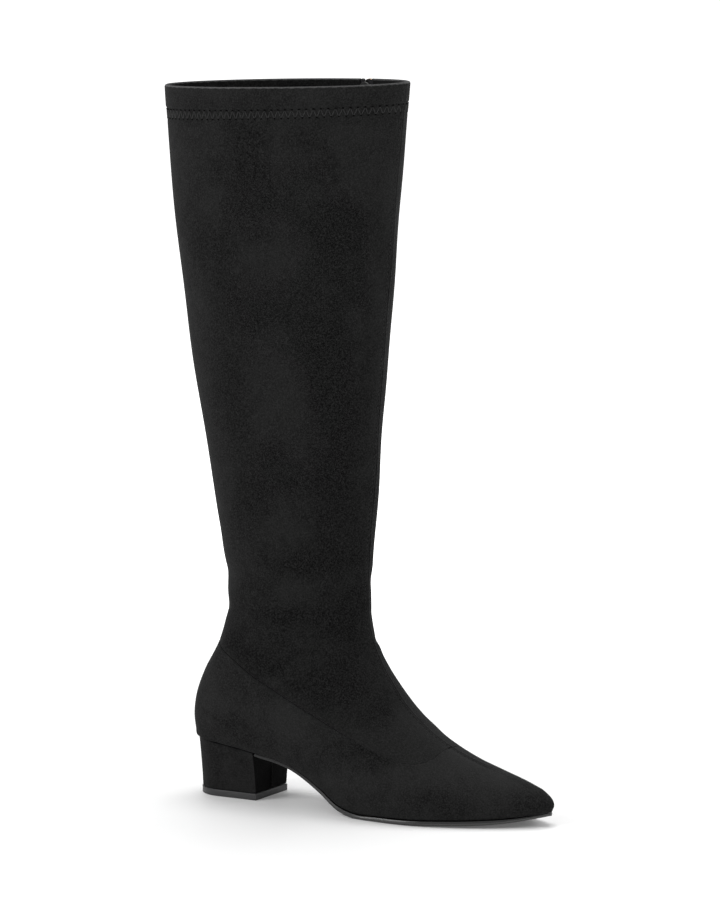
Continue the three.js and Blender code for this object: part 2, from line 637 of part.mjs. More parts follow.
// ---------------------------------------------------------------- assembly
const MATERIALS = {
  cloth: { color: 0x1d1d1f, roughness: 0.95, metalness: 0 },
  sole: { color: 0x141414, roughness: 0.45, metalness: 0 },
  rubber: { color: 0x3a3a3c, roughness: 0.6, metalness: 0 },
  lining: { color: 0x232324, roughness: 0.9, metalness: 0 },
  chain: { color: 0x0e0e10, roughness: 0.35, metalness: 0 },
  gold: { color: 0xd9b382, roughness: 0.25, metalness: 1 },
};

const boot = new THREE.Group();
function place(name, geometry, material, parent = boot) {
  const mesh = new THREE.Mesh(geometry, new THREE.MeshStandardMaterial(MATERIALS[material]));
  mesh.name = name;
  parent.add(mesh);
  return mesh;
}

const wall = bootWall();
const slot = zipBand(ZIP.slot, ZIP.mouth, ZIP.bottom, ZIP.top);
place('outsole', geometryOf(outsole()), 'sole');
place('insole', geometryOf(insole()), 'lining');
place('heel', geometryOf(heelBlock()), 'cloth');
place('heel_top_piece', geometryOf(heelTopPiece()), 'rubber');
place('upper', geometryOf(wall.subtract(shaftZone(-GAP / 2)).subtract(slot)), 'cloth');
place('shaft', geometryOf(wall.intersect(shaftZone(GAP / 2)).subtract(slot)), 'cloth');
const chainBand = zipBand(ZIP.chain, ZIP.chain, ZIP.bottom + GAP, ZIP.chainTop);
place('zip_chain', geometryOf(wall.intersect(chainBand)), 'chain');

const fineZip = zipLine(200);
const atSlider = fineZip.findIndex((p) => p.y > SLIDER.height);
const { point: sliderPoint, normal: outward } = innerSidePoint(fineZip[atSlider].x, SLIDER.height);
const zipRise = fineZip[atSlider].clone().sub(fineZip[atSlider - 1]);
const upZip = new THREE.Vector3(zipRise.x, 0, zipRise.y).projectOnPlane(outward).normalize();
const acrossZip = outward.clone().cross(upZip);
const fastener = new THREE.Group();
fastener.position.copy(sliderPoint);
fastener.quaternion.setFromRotationMatrix(new THREE.Matrix4().makeBasis(acrossZip, outward, upZip));
boot.add(fastener);
place('zip_slider', geometryOf(zipSlider()), 'gold', fastener);
const pull = place('zip_pull', geometryOf(zipPull()), 'gold', fastener);
pull.position.set(0, HINGE.y, HINGE.z);

export default boot;
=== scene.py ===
"""Knee-high boot for the right foot: surfaces, finishes, light and camera.

The cloth is a net over one foot form, worked out from a table of sections. The net is cut
along the real seams, given its folds and rolled edges, and closed into shells with a lining.
Sizes are in millimetres until a mesh is made; the scene is in metres. +X points to the toe,
+Y to the inner side and +Z up.
"""

import json
import logging
import math
from dataclasses import dataclass, fields
from enum import Enum
from typing import Callable, Mapping, Sequence

import bpy
import numpy as np
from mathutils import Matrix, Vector

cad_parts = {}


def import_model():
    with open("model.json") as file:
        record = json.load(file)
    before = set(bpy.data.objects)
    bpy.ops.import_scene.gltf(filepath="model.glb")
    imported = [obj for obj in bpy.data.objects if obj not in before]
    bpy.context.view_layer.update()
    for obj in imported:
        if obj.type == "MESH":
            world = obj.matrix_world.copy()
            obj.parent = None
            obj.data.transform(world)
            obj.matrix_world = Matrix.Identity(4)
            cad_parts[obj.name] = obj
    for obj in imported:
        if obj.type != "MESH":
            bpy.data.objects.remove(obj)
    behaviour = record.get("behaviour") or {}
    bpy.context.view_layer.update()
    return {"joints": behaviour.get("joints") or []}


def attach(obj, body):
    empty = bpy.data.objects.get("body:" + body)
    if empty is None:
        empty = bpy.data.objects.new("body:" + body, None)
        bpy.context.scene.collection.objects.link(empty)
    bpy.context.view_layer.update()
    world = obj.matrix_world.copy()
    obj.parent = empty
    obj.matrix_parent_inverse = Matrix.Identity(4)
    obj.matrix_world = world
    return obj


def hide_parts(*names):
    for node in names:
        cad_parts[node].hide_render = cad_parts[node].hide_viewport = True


LOG = logging.getLogger("boot")
MM = 0.001
BOOT_BODY = "boot"
PULL_BODY = "pull"
Array = np.ndarray


# ------------------------------------------------------------------ the foot form
COLUMNS = (
    "back_x", "back_z", "front_x", "front_z", "ridge", "sole_out", "sole_in", "max_out", "max_in",
)
SECTIONS = (
    # forefoot
    (223.0, 9.0, 221.5, 20.0, 5.5, -0.5, 11.0, 0.0, 11.5),
    (216.0, 8.0, 213.5, 22.6, 5.1, 4.8, 13.6, 5.5, 14.4),
    (203.0, 6.4, 200.0, 27.0, 4.4, 13.6, 20.6, 14.6, 21.8),
    (186.0, 5.2, 181.5, 32.5, 3.6, 23.4, 28.2, 24.8, 29.8),
    (166.0, 4.3, 160.0, 40.0, 2.7, 31.8, 34.4, 33.6, 36.2),
    # ball
    (144.0, 3.6, 137.5, 52.5, 1.8, 37.6, 36.2, 39.6, 38.3),
    (122.0, 3.4, 119.4, 68.8, 0.9, 38.0, 31.6, 40.0, 35.8),
    (104.0, 3.4, 111.0, 80.5, 0.4, 36.0, 25.0, 38.6, 32.6),
    # waist and instep
    (90.0, 6.4, 106.0, 88.2, 0.0, 32.2, 20.0, 36.2, 31.0),
    (74.0, 15.2, 102.0, 95.2, 0.0, 28.2, 17.2, 34.0, 30.0),
    (50.0, 26.2, 98.6, 102.6, 0.0, 25.4, 17.2, 32.6, 30.0),
    # heel seat
    (24.0, 31.5, 96.1, 110.5, 0.0, 24.6, 22.2, 32.5, 31.5),
    (0.0, 35.5, 94.9, 119.5, 0.0, 25.5, 25.5, 32.5, 32.0),
    (-25.0, 39.5, 94.0, 130.0, 0.0, 25.0, 25.0, 32.5, 32.5),
    # counter and ankle
    (-25.9, 48.0, 94.0, 136.0, 0.0, 0.0, 0.0, 32.2, 32.2),
    (-24.9, 58.0, 94.1, 142.0, 0.0, 0.0, 0.0, 32.0, 32.0),
    (-19.2, 76.0, 94.5, 154.0, 0.0, 0.0, 0.0, 32.0, 32.0),
    (-8.4, 97.0, 95.4, 168.0, 0.0, 0.0, 0.0, 32.0, 32.0),
    (-3.2, 122.0, 96.7, 186.0, 0.0, 0.0, 0.0, 32.6, 32.6),
    # leg
    (-5.9, 150.0, 98.3, 206.0, 0.0, 0.0, 0.0, 34.0, 34.0),
    (-11.9, 185.0, 100.2, 233.0, 0.0, 0.0, 0.0, 36.5, 36.5),
    (-22.2, 240.0, 104.2, 276.0, 0.0, 0.0, 0.0, 40.5, 40.5),
    (-33.2, 310.0, 109.5, 335.0, 0.0, 0.0, 0.0, 43.0, 43.0),
    (-42.8, 380.0, 114.7, 395.0, 0.0, 0.0, 0.0, 42.5, 42.5),
    (-49.1, 447.5, 120.2, 454.5, 0.0, 0.0, 0.0, 42.0, 42.0),
)
NOSE_ROW = 2
SEAT_START_ROW = 9
SEAT_ROW = 13
TOE_X = 223.0
SEAT_X = -25.0
NOSE_LENGTH = 9.0
SEAT_RADIUS = 24.0
# How much rounder than an ellipse the sections are at the back, at its most, and the rows
# where this starts, is full, still is full and has ended.
FULLNESS = 0.7
FULL_ROWS = (9, 13, 15, 19)


def round_end(distance: Array, length: float) -> Array:
    """A quarter circle that rises from 0 at distance 0 to 1 at the given length."""
    part = np.clip(distance / length, 0.0, 1.0)
    return np.sqrt(np.maximum(1.0 - (1.0 - part) ** 2, 0.0))


def smooth_step(low: float, high: float, value: Array) -> Array:
    """0 below low, 1 above high, with an even start and end between them."""
    part = np.clip((value - low) / (high - low), 0.0, 1.0)
    return part * part * (3.0 - 2.0 * part)


def unit(vectors: Array) -> Array:
    """Vectors scaled to length 1."""
    return vectors / np.maximum(np.linalg.norm(vectors, axis=-1, keepdims=True), 1e-12)


class Last:
    """The outer form of the boot as a function of station and turn.

    A station is the distance along the middle of the sections, from 0 at the toe to
    `collar`. A turn runs from -1 at the outer feather edge over the ridge at 0 to +1 at the
    inner feather edge; above the seat both ends meet at the back.
    """

    def __init__(self) -> None:
        """Works out stations and slopes from the table of sections."""
        table = np.array(SECTIONS)
        self.table = {name: table[:, i] for i, name in enumerate(COLUMNS)}
        middle = (table[:, :2] + table[:, 2:4]) / 2.0
        self.stations = np.r_[0.0, np.cumsum(np.hypot(*np.diff(middle, axis=0).T))]
        self.collar = float(self.stations[-1])
        self.seat = float(self.stations[SEAT_ROW])
        self.slopes = {name: self._slopes(values) for name, values in self.table.items()}
        for name in ("back_x", "back_z"):
            self.slopes[name][SEAT_ROW] = 0.0

    def _slopes(self, values: Array) -> Array:
        """Slopes at the rows: each side's slope weighed by the length of the other side."""
        steps = np.diff(self.stations)
        rates = np.diff(values) / steps
        slopes = np.empty_like(values)
        slopes[1:-1] = (rates[:-1] * steps[1:] + rates[1:] * steps[:-1]) / (steps[:-1] + steps[1:])
        slopes[0] = 1.5 * rates[0] - 0.5 * slopes[1]
        slopes[-1] = 1.5 * rates[-1] - 0.5 * slopes[-2]
        return slopes

    def value(self, name: str, station: Array) -> Array:
        """A column of the table at any station, by a cubic between the rows around it."""
        s = np.clip(station, 0.0, self.collar)
        row = np.clip(np.searchsorted(self.stations, s, side="right") - 1, 0, len(self.stations) - 2)
        step = self.stations[row + 1] - self.stations[row]
        u = (s - self.stations[row]) / step
        values = self.table[name]
        slopes = self.slopes[name]
        start = (1 + 2 * u) * (1 - u) ** 2 * values[row] + u * (1 - u) ** 2 * step * slopes[row]
        end = u * u * (3 - 2 * u) * values[row + 1] + u * u * (u - 1) * step * slopes[row + 1]
        return start + end

    def nose(self, station: Array, back_x: Array) -> Array:
        """How far the round of the nose has opened, 0 to 1."""
        return np.where(station > self.stations[NOSE_ROW], 1.0, round_end(TOE_X - back_x, NOSE_LENGTH))

    def heel_round(self, station: Array, back_x: Array) -> Array:
        """How wide the round of the seat is, 1 in front of it and 0 at its back."""
        opened = round_end(back_x - SEAT_X, SEAT_RADIUS)
        ahead = np.where(station < self.stations[SEAT_START_ROW], 1.0, opened)
        return np.where(station >= self.seat, 0.0, ahead)

    def fullness(self, station: Array) -> Array:
        """How much rounder than an ellipse a section is at its back."""
        start, full, still, end = (self.stations[row] for row in FULL_ROWS)
        return FULLNESS * smooth_step(start, full, station) * (1.0 - smooth_step(still, end, station))

    def point(self, station: Array, turn: Array) -> Array:
        """Points of the outer surface.

        Across a section the surface is a part of an ellipse, made fuller at the back round
        the counter. It starts at the angle whose sine is the sole's width over the widest
        width, and ends on the ridge.

        Args:
            station: distances from the toe, in mm.
            turn: places around the section, -1 to 1.

        Returns:
            Points in mm, with a last axis of 3.
        """
        s, turn = np.broadcast_arrays(np.asarray(station, float), np.asarray(turn, float))
        at = {name: self.value(name, s) for name in COLUMNS}
        nose = self.nose(s, at["back_x"])
        outer = turn < 0
        side = np.where(outer, -1.0, 1.0)
        ridge = at["ridge"]
        sole = np.where(outer, at["sole_out"] + ridge, at["sole_in"] - ridge)
        widest = np.where(outer, at["max_out"] + ridge, at["max_in"] - ridge)
        ratio = np.clip(sole * self.heel_round(s, at["back_x"]) / widest, 0.0, 1.0)
        start = np.arcsin(ratio)
        angle = math.pi - (math.pi - start) * np.abs(turn)
        rise = (np.cos(start) - np.cos(angle)) / (1.0 + np.cos(start))
        rise = rise * (1.0 - self.fullness(s) * (1.0 - rise) ** 2) * nose
        return np.stack([
            at["back_x"] + (at["front_x"] - at["back_x"]) * rise,
            ridge + side * widest * nose * np.sin(angle),
            at["back_z"] + (at["front_z"] - at["back_z"]) * rise,
        ], axis=-1)

    def normal(self, station: Array, turn: Array) -> Array:
        """Outward directions, from two short steps on the surface."""
        s, turn = np.broadcast_arrays(np.asarray(station, float), np.asarray(turn, float))
        step_s, step_turn = 0.4, 0.01
        up, down = np.minimum(s + step_s, self.collar), np.maximum(s - step_s, 0)
        left, right = np.maximum(turn - step_turn, -1), np.minimum(turn + step_turn, 1)
        along = self.point(up, turn) - self.point(down, turn)
        across = self.point(s, right) - self.point(s, left)
        normal = unit(np.cross(across, along))
        back = (s >= self.seat) & (np.abs(turn) >= 1.0 - 1e-9)
        normal[back, 1] = 0.0
        normal[s <= 0.0] = (1.0, 0.0, 0.0)
        return unit(normal)

    def station_at(self, back_x: Array) -> Array:
        """Stations where the bottom line has come back as far as back_x."""
        fine = np.linspace(0.0, self.seat, 4000)
        return np.interp(-np.asarray(back_x, float), -self.value("back_x", fine), fine)

    def bottom(self, x: Array) -> tuple[Array, Array, Array]:
        """Height, outer and inner half-width of the feather edge at places along X."""
        s = self.station_at(x)
        opened = self.nose(s, x) * self.heel_round(s, x)
        ridge = self.value("ridge", s)
        outer = -ridge + (self.value("sole_out", s) + ridge) * opened
        inner = ridge + (self.value("sole_in", s) - ridge) * opened
        return self.value("back_z", s), outer, inner


# ------------------------------------------------------------------ lines on the boot
def smooth_line(points: Sequence[Sequence[float]], steps: int) -> Array:
    """A smooth line through points: on each span, the cubic whose end slopes are half the
    chord between the neighbours on either side.

    Args:
        points: rows of 2 or 3 numbers.
        steps: spans of the finished line.

    Returns:
        steps + 1 points.
    """
    p = np.asarray(points, float)
    t = np.linspace(0.0, len(p) - 1.0, steps + 1)
    i = np.minimum(t.astype(int), len(p) - 2)
    u = (t - i)[:, None]
    before, here, after, beyond = (p[np.clip(i + k, 0, len(p) - 1)] for k in (-1, 0, 1, 2))
    v0 = (after - before) / 2.0
    v1 = (beyond - here) / 2.0
    return (
        (2 * here - 2 * after + v0 + v1) * u**3
        + (-3 * here + 3 * after - 2 * v0 - v1) * u**2
        + v0 * u
        + here
    )


def resample(line: Array, spacing: float) -> Array:
    """Points at an even spacing along a line, both ends included."""
    lengths = np.r_[0.0, np.cumsum(np.linalg.norm(np.diff(line, axis=0), axis=1))]
    count = max(int(round(lengths[-1] / spacing)), 1)
    at = np.linspace(0.0, lengths[-1], count + 1)
    return np.stack([np.interp(at, lengths, line[:, k]) for k in range(line.shape[1])], axis=1)


def signed_distance(line: Array, places: Array) -> Array:
    """Distance from places to a line in a plane, above 0 on the left of its direction."""
    start = line[:-1]
    span = np.diff(line, axis=0)
    offset = places[:, None] - start[None]
    along = np.clip((offset * span).sum(-1) / (span * span).sum(-1), 0.0, 1.0)
    gap = offset - along[..., None] * span
    distance = np.hypot(gap[..., 0], gap[..., 1])
    nearest = distance.argmin(axis=1)
    rows = np.arange(len(places))
    near_span = span[nearest]
    near_offset = offset[rows, nearest]
    cross = near_span[:, 0] * near_offset[:, 1] - near_span[:, 1] * near_offset[:, 0]
    return distance[rows, nearest] * np.where(cross >= 0, 1.0, -1.0)


# Seam between the foot's upper and the shaft, seen from the side: x, z from back to front.
SEAM_POINTS = (
    (-60.0, 101.5), (-10.0, 101.5), (8.0, 95.5), (30.0, 82.0), (59.0, 67.5), (88.0, 55.0),
    (120.0, 42.8), (134.5, 38.2), (143.6, 36.8), (150.0, 38.4), (152.6, 43.0), (152.6, 70.0),
)
# Middle of the zip, seen from the side: x, z from its lower end to the collar.
ZIP_POINTS = (
    (56.8, 38.5), (60.0, 74.0), (64.8, 133.0), (66.8, 200.0),
    (68.2, 308.0), (72.8, 452.0), (73.4, 470.0),
)
SEAM_LINE = smooth_line(SEAM_POINTS, 132)
ZIP_LINE = smooth_line(ZIP_POINTS, 120)
ZIP_LOW = 38.5
INNER_START = 4.0


class Side(Enum):
    """Which side of the boot a feature is on."""

    OUTER = -1
    INNER = 1
    BOTH = 0


@dataclass(frozen=True)
class Places:
    """Places on the form with everything that features measure there.

    Attributes:
        station: distance from the toe.
        turn: place around the section.
        point: position on the plain form, in mm.
        seam: distance above (+) or below (-) the seam between upper and shaft.
        zip_across: distance across the zip, + towards the toe; large away from it.
        rim: distance below the collar.
        feather: distance from the feather edge; large above the seat.
        middle: distance from the ridge or back line, by sideways distance.
    """

    station: Array
    turn: Array
    point: Array
    seam: Array
    zip_across: Array
    rim: Array
    feather: Array
    middle: Array

    def joined(self, more: "Places") -> "Places":
        """These places followed by more."""
        pairs = ((getattr(self, f.name), getattr(more, f.name)) for f in fields(Places))
        return Places(*(np.concatenate(pair) for pair in pairs))

    def chosen(self, index: Array) -> "Places":
        """Some of these places."""
        return Places(*(getattr(self, f.name)[index] for f in fields(Places)))


FAR = 999.0


def feather_distance(last: Last, station: Array, turn: Array, point: Array) -> Array:
    """Distance from the feather edge: along the section in front, to the edge's line at the seat."""
    edge = last.point(station, np.where(turn < 0, -1.0, 1.0))
    distance = np.linalg.norm(point - edge, axis=1)
    near = (station > last.seat - 75.0) & (station < last.seat + 45.0)
    distance = np.where(station < last.seat + 45.0, distance, FAR)
    if not near.any():
        return distance
    angles = np.radians(np.linspace(0.0, 90.0, 24))
    x = np.r_[SEAT_X + SEAT_RADIUS * (1 - np.cos(angles)), np.linspace(0.0, 95.0, 48)[1:]]
    z, outer, inner = last.bottom(x)
    line = np.concatenate([np.stack([x, -outer, z], 1)[::-1], np.stack([x, inner, z], 1)])
    start, span = line[:-1], np.diff(line, axis=0)
    size = np.maximum((span * span).sum(-1), 1e-9)
    rows = np.flatnonzero(near)
    for part in np.array_split(rows, max(len(rows) // 4000, 1)):
        offset = point[part, None] - start[None]
        along = np.clip((offset * span).sum(-1) / size, 0.0, 1.0)
        distance[part] = np.linalg.norm(offset - along[..., None] * span, axis=-1).min(axis=1)
    return distance


def measure(last: Last, uv: Array) -> Places:
    """Measures every feature's distance at (station, turn) pairs."""
    station, turn = uv.T
    point = last.point(station, turn)
    x, y, z = point.T
    seam = signed_distance(SEAM_LINE, point[:, [0, 2]])
    lean = np.gradient(ZIP_LINE[:, 0], ZIP_LINE[:, 1])
    across = (x - np.interp(z, ZIP_LINE[:, 1], ZIP_LINE[:, 0])) * np.cos(
        np.arctan(np.interp(z, ZIP_LINE[:, 1], lean))
    )
    across = np.where(y > INNER_START, across, FAR)
    feather = feather_distance(last, station, turn, point)
    middle = np.abs(y - last.value("ridge", station))
    return Places(station, turn, point, seam, across, last.collar - station, feather, middle)


# ------------------------------------------------------------------ relief of the cloth
@dataclass(frozen=True)
class Roll:
    """An edge of cloth that turns down: a quarter ellipse of this width and depth."""

    width: float
    depth: float

    def drop(self, distance: Array) -> Array:
        """How far the surface lies below its plain height at a distance from the edge."""
        part = 1.0 - np.clip(distance / self.width, 0.0, 1.0)
        return self.depth * (1.0 - np.sqrt(np.maximum(1.0 - part * part, 0.0)))


@dataclass(frozen=True)
class Fold:
    """A soft fold along a line in the side view: a trough with a low ridge beside it.

    Attributes:
        line: x, z points along the trough.
        depth: of the trough, in mm.
        width: from the trough's middle to where its side has mostly risen.
        side: the side of the boot it is on.
        ridge: height of the ridge above the trough, as a part of its depth.
    """

    line: tuple[tuple[float, float], ...]
    depth: float
    width: float
    side: Side = Side.OUTER
    ridge: float = 0.6

    def height(self, places: Places) -> Array:
        """A bell-shaped trough minus a wider bell just above it, faded at both ends."""
        line = smooth_line(self.line, 24)
        flat = places.point[:, [0, 2]]
        distance = signed_distance(line, flat)
        ends = np.minimum(
            np.linalg.norm(flat - line[0], axis=1), np.linalg.norm(flat - line[-1], axis=1)
        )
        fade = np.where(np.abs(distance) < ends, 1.0, 0.0) * smooth_step(0.0, 3.0 * self.width, ends)
        trough = -self.depth * np.exp(-((distance / self.width) ** 2))
        ridge = self.depth * self.ridge * np.exp(-(((distance - 1.9 * self.width) / (1.3 * self.width)) ** 2))
        y = places.point[:, 1]
        if self.side is Side.OUTER:
            fade = fade * smooth_step(-2.0, 6.0, -y)
        elif self.side is Side.INNER:
            fade = fade * smooth_step(-2.0, 6.0, y)
        return (trough + ridge) * fade


# Folds where the ankle bends and where the vamp has been walked in.
FOLDS = (
    Fold(((-16.0, 128.0), (4.0, 121.0), (26.0, 122.0), (44.0, 130.0)), 0.9, 5.0),
    Fold(((-14.0, 150.0), (10.0, 141.0), (34.0, 146.0)), 0.7, 5.5),
    Fold(((36.0, 108.0), (56.0, 101.0), (78.0, 103.0), (96.0, 112.0)), 0.8, 6.0),
    Fold(((60.0, 140.0), (80.0, 134.0), (104.0, 138.0)), 0.6, 6.0),
    Fold(((20.0, 172.0), (44.0, 164.0), (66.0, 170.0)), 0.5, 7.0),
    Fold(((100.0, 52.0), (114.0, 60.0), (124.0, 72.0)), 0.6, 5.0),
    Fold(((122.0, 26.0), (134.0, 36.0), (141.0, 50.0)), 0.5, 4.5),
    Fold(((-16.0, 118.0), (6.0, 112.0), (30.0, 116.0), (48.0, 126.0)), 0.9, 4.5, Side.INNER),
    Fold(((-14.0, 138.0), (8.0, 130.0), (30.0, 136.0)), 0.7, 5.0, Side.INNER),
    Fold(((97.0, 109.0), (90.8, 100.0), (86.0, 97.8), (75.0, 89.6), (63.0, 83.0)), 0.8, 2.4, Side.INNER, 0.4),
    Fold(((74.0, 150.0), (88.0, 142.0), (104.0, 146.0)), 0.6, 5.5, Side.INNER),
    Fold(((120.0, 24.0), (133.0, 34.0), (140.0, 50.0)), 0.5, 4.5, Side.INNER),
)


@dataclass(frozen=True)
class TonePatch:
    """A soft patch of darker or lighter colour; the listed patches hold painted shade and light mixed with
    the nap's own tone.

    Attributes:
        place: x and z of its middle.
        size: its half-length along x and z.
        tone: how much lighter (+) or darker (-) it is.
    """

    place: tuple[float, float]
    size: tuple[float, float]
    tone: float

    def at(self, flat: Array) -> Array:
        """The patch's tone at points x, z: a bell over its size."""
        away = (flat - self.place) / self.size
        return self.tone * np.exp(-(away * away).sum(axis=1))


# Patches of painted shade and light mixed with the nap's own tone, on the outer side: dark bands lie in the
# ankle's creases and just above the seam, a light band along the hem; the inner side has them a little
# further down and forward.
SHADE_AND_NAP = (
    TonePatch((18.0, 300.0), (15.0, 32.0), -0.5), TonePatch((18.0, 256.0), (9.0, 22.0), -0.7),
    TonePatch((29.0, 199.0), (14.0, 30.0), -0.5), TonePatch((90.0, 365.0), (14.0, 16.0), -0.8),
    TonePatch((84.0, 290.0), (13.0, 30.0), -0.7), TonePatch((88.0, 250.0), (10.0, 24.0), -0.5),
    TonePatch((84.0, 204.0), (12.0, 30.0), -0.6), TonePatch((78.0, 160.0), (15.0, 8.0), -0.8),
    TonePatch((55.0, 154.0), (14.0, 4.0), -0.6), TonePatch((58.0, 122.0), (22.0, 4.0), -0.8),
    TonePatch((84.0, 118.0), (8.0, 13.0), -0.6), TonePatch((41.0, 89.0), (12.0, 5.0), -0.8),
    TonePatch((16.0, 103.0), (9.0, 5.0), -0.7), TonePatch((30.0, 95.0), (9.0, 5.0), -0.6),
    TonePatch((58.0, 80.0), (12.0, 4.0), -0.7), TonePatch((35.0, 448.0), (80.0, 6.0), 0.3),
    TonePatch((60.0, 205.0), (30.0, 5.0), -0.5), TonePatch((28.0, 385.0), (20.0, 22.0), -0.4),
    TonePatch((81.0, 84.0), (13.0, 14.0), -0.6), TonePatch((114.0, 59.0), (11.0, 12.0), -0.6),
    TonePatch((30.0, 415.0), (12.0, 14.0), -0.5), TonePatch((47.0, 222.0), (9.0, 8.0), -0.5),
    TonePatch((44.0, 312.0), (14.0, 13.0), -0.4), TonePatch((12.0, 350.0), (14.0, 15.0), -0.4),
    TonePatch((95.0, 423.0), (15.0, 8.0), 0.7), TonePatch((55.0, 342.0), (15.0, 15.0), 0.3),
    TonePatch((52.0, 260.0), (17.0, 19.0), 0.4), TonePatch((58.0, 174.0), (16.0, 8.0), 0.4),
    TonePatch((55.0, 139.0), (14.0, 6.0), 0.4), TonePatch((47.0, 80.0), (9.0, 4.0), 0.6),
    TonePatch((52.0, 58.0), (18.0, 12.0), 0.5), TonePatch((190.0, 24.0), (24.0, 9.0), 0.4),
    TonePatch((160.0, 35.0), (14.0, 10.0), 0.6), TonePatch((110.0, 390.0), (14.0, 16.0), 0.4),
    TonePatch((0.0, 70.0), (14.0, 16.0), 0.5), TonePatch((134.0, 30.0), (20.0, 10.0), 0.3),
)
INNER_PATCH_SHIFT = (9.0, -24.0)

# Where the leg's darker nap runs out into the foot's, over the faint end of their seam.
NAP_BLEND = TonePatch((122.0, 50.0), (20.0, 15.0), 0.9)


def shade_and_nap_tone(points: Array) -> Array:
    """Painted shade and light with the nap's tone at points in mm: a sum of bells, one for each patch."""
    inner = (points[:, 1] > 0)[:, None]
    flat = points[:, [0, 2]] - inner * INNER_PATCH_SHIFT
    return np.clip(sum(patch.at(flat) for patch in SHADE_AND_NAP), -1.0, 1.0)


@dataclass(frozen=True)
class ToeRound:
    """The toe puff: cloth swells over the edge of the sole at the tip and tucks in under it."""

    reach: float = 26.0
    tuck: float = 1.7
    tuck_height: float = 4.5
    swell: float = 0.9
    swell_height: float = 7.0

    def near(self, x: Array) -> Array:
        """1 at the tip and 0 beyond its reach."""
        return 1.0 - smooth_step(0.0, self.reach, TOE_X - x)

    def height(self, places: Places) -> Array:
        """A bell-shaped swell above the edge, and a tuck that deepens towards the edge."""
        edge = places.feather
        swell = self.swell * np.exp(-(((edge - self.swell_height) / 4.0) ** 2))
        tuck = self.tuck * (1.0 - smooth_step(0.0, self.tuck_height, edge))
        return (swell - tuck) * self.near(places.point[:, 0])


TOE_ROUND = ToeRound()


def sway(point: Array) -> Array:
    """Slow unevenness of slack cloth: a sum of long waves in three directions, in mm."""
    x, y, z = point.T
    side = np.tanh(y / 12.0)
    return (
        0.30 * np.sin(z / 37.0 + 1.3 * side + x / 61.0)
        + 0.22 * np.sin(z / 19.0 - x / 27.0 + 2.1 * side)
        + 0.16 * np.sin(z / 11.5 + x / 14.0 + 0.7 + 3.0 * side)
    )


@dataclass(frozen=True)
class Stitched:
    """A joint that is opened flat and stitched down on both sides of its line.

    Attributes:
        groove: depth of the joint itself.
        lift: height of the band between the stitches.
        stitch: distance of the stitches from the joint.
        notch: depth of the line that the stitches press in.
    """

    groove: float = 0.45
    lift: float = 0.35
    stitch: float = 2.3
    notch: float = 0.3

    def height(self, distance: Array) -> Array:
        """Height of the cloth at a distance from the joint."""
        band = self.lift * (1.0 - smooth_step(self.stitch - 0.7, self.stitch + 1.2, distance))
        joint = self.groove * np.exp(-((distance / 0.45) ** 2))
        line = self.notch * np.exp(-(((distance - self.stitch) / 0.45) ** 2))
        return band - joint - line


FRONT_JOINT = Stitched()
BACK_JOINT = Stitched(groove=0.4, lift=0.2, stitch=2.1, notch=0.2)
HEM_DEPTH = 13.5
HEM_LIFT = 0.4
WALL = 1.8
HEM_WALL = 2.6


def hem_part(rim: Array) -> Array:
    """1 on the folded hem and 0 below it, with a short step between."""
    return 1.0 - smooth_step(HEM_DEPTH - 0.2, HEM_DEPTH + 1.0, rim)


# ------------------------------------------------------------------ nets and shells
SNAP = 0.06


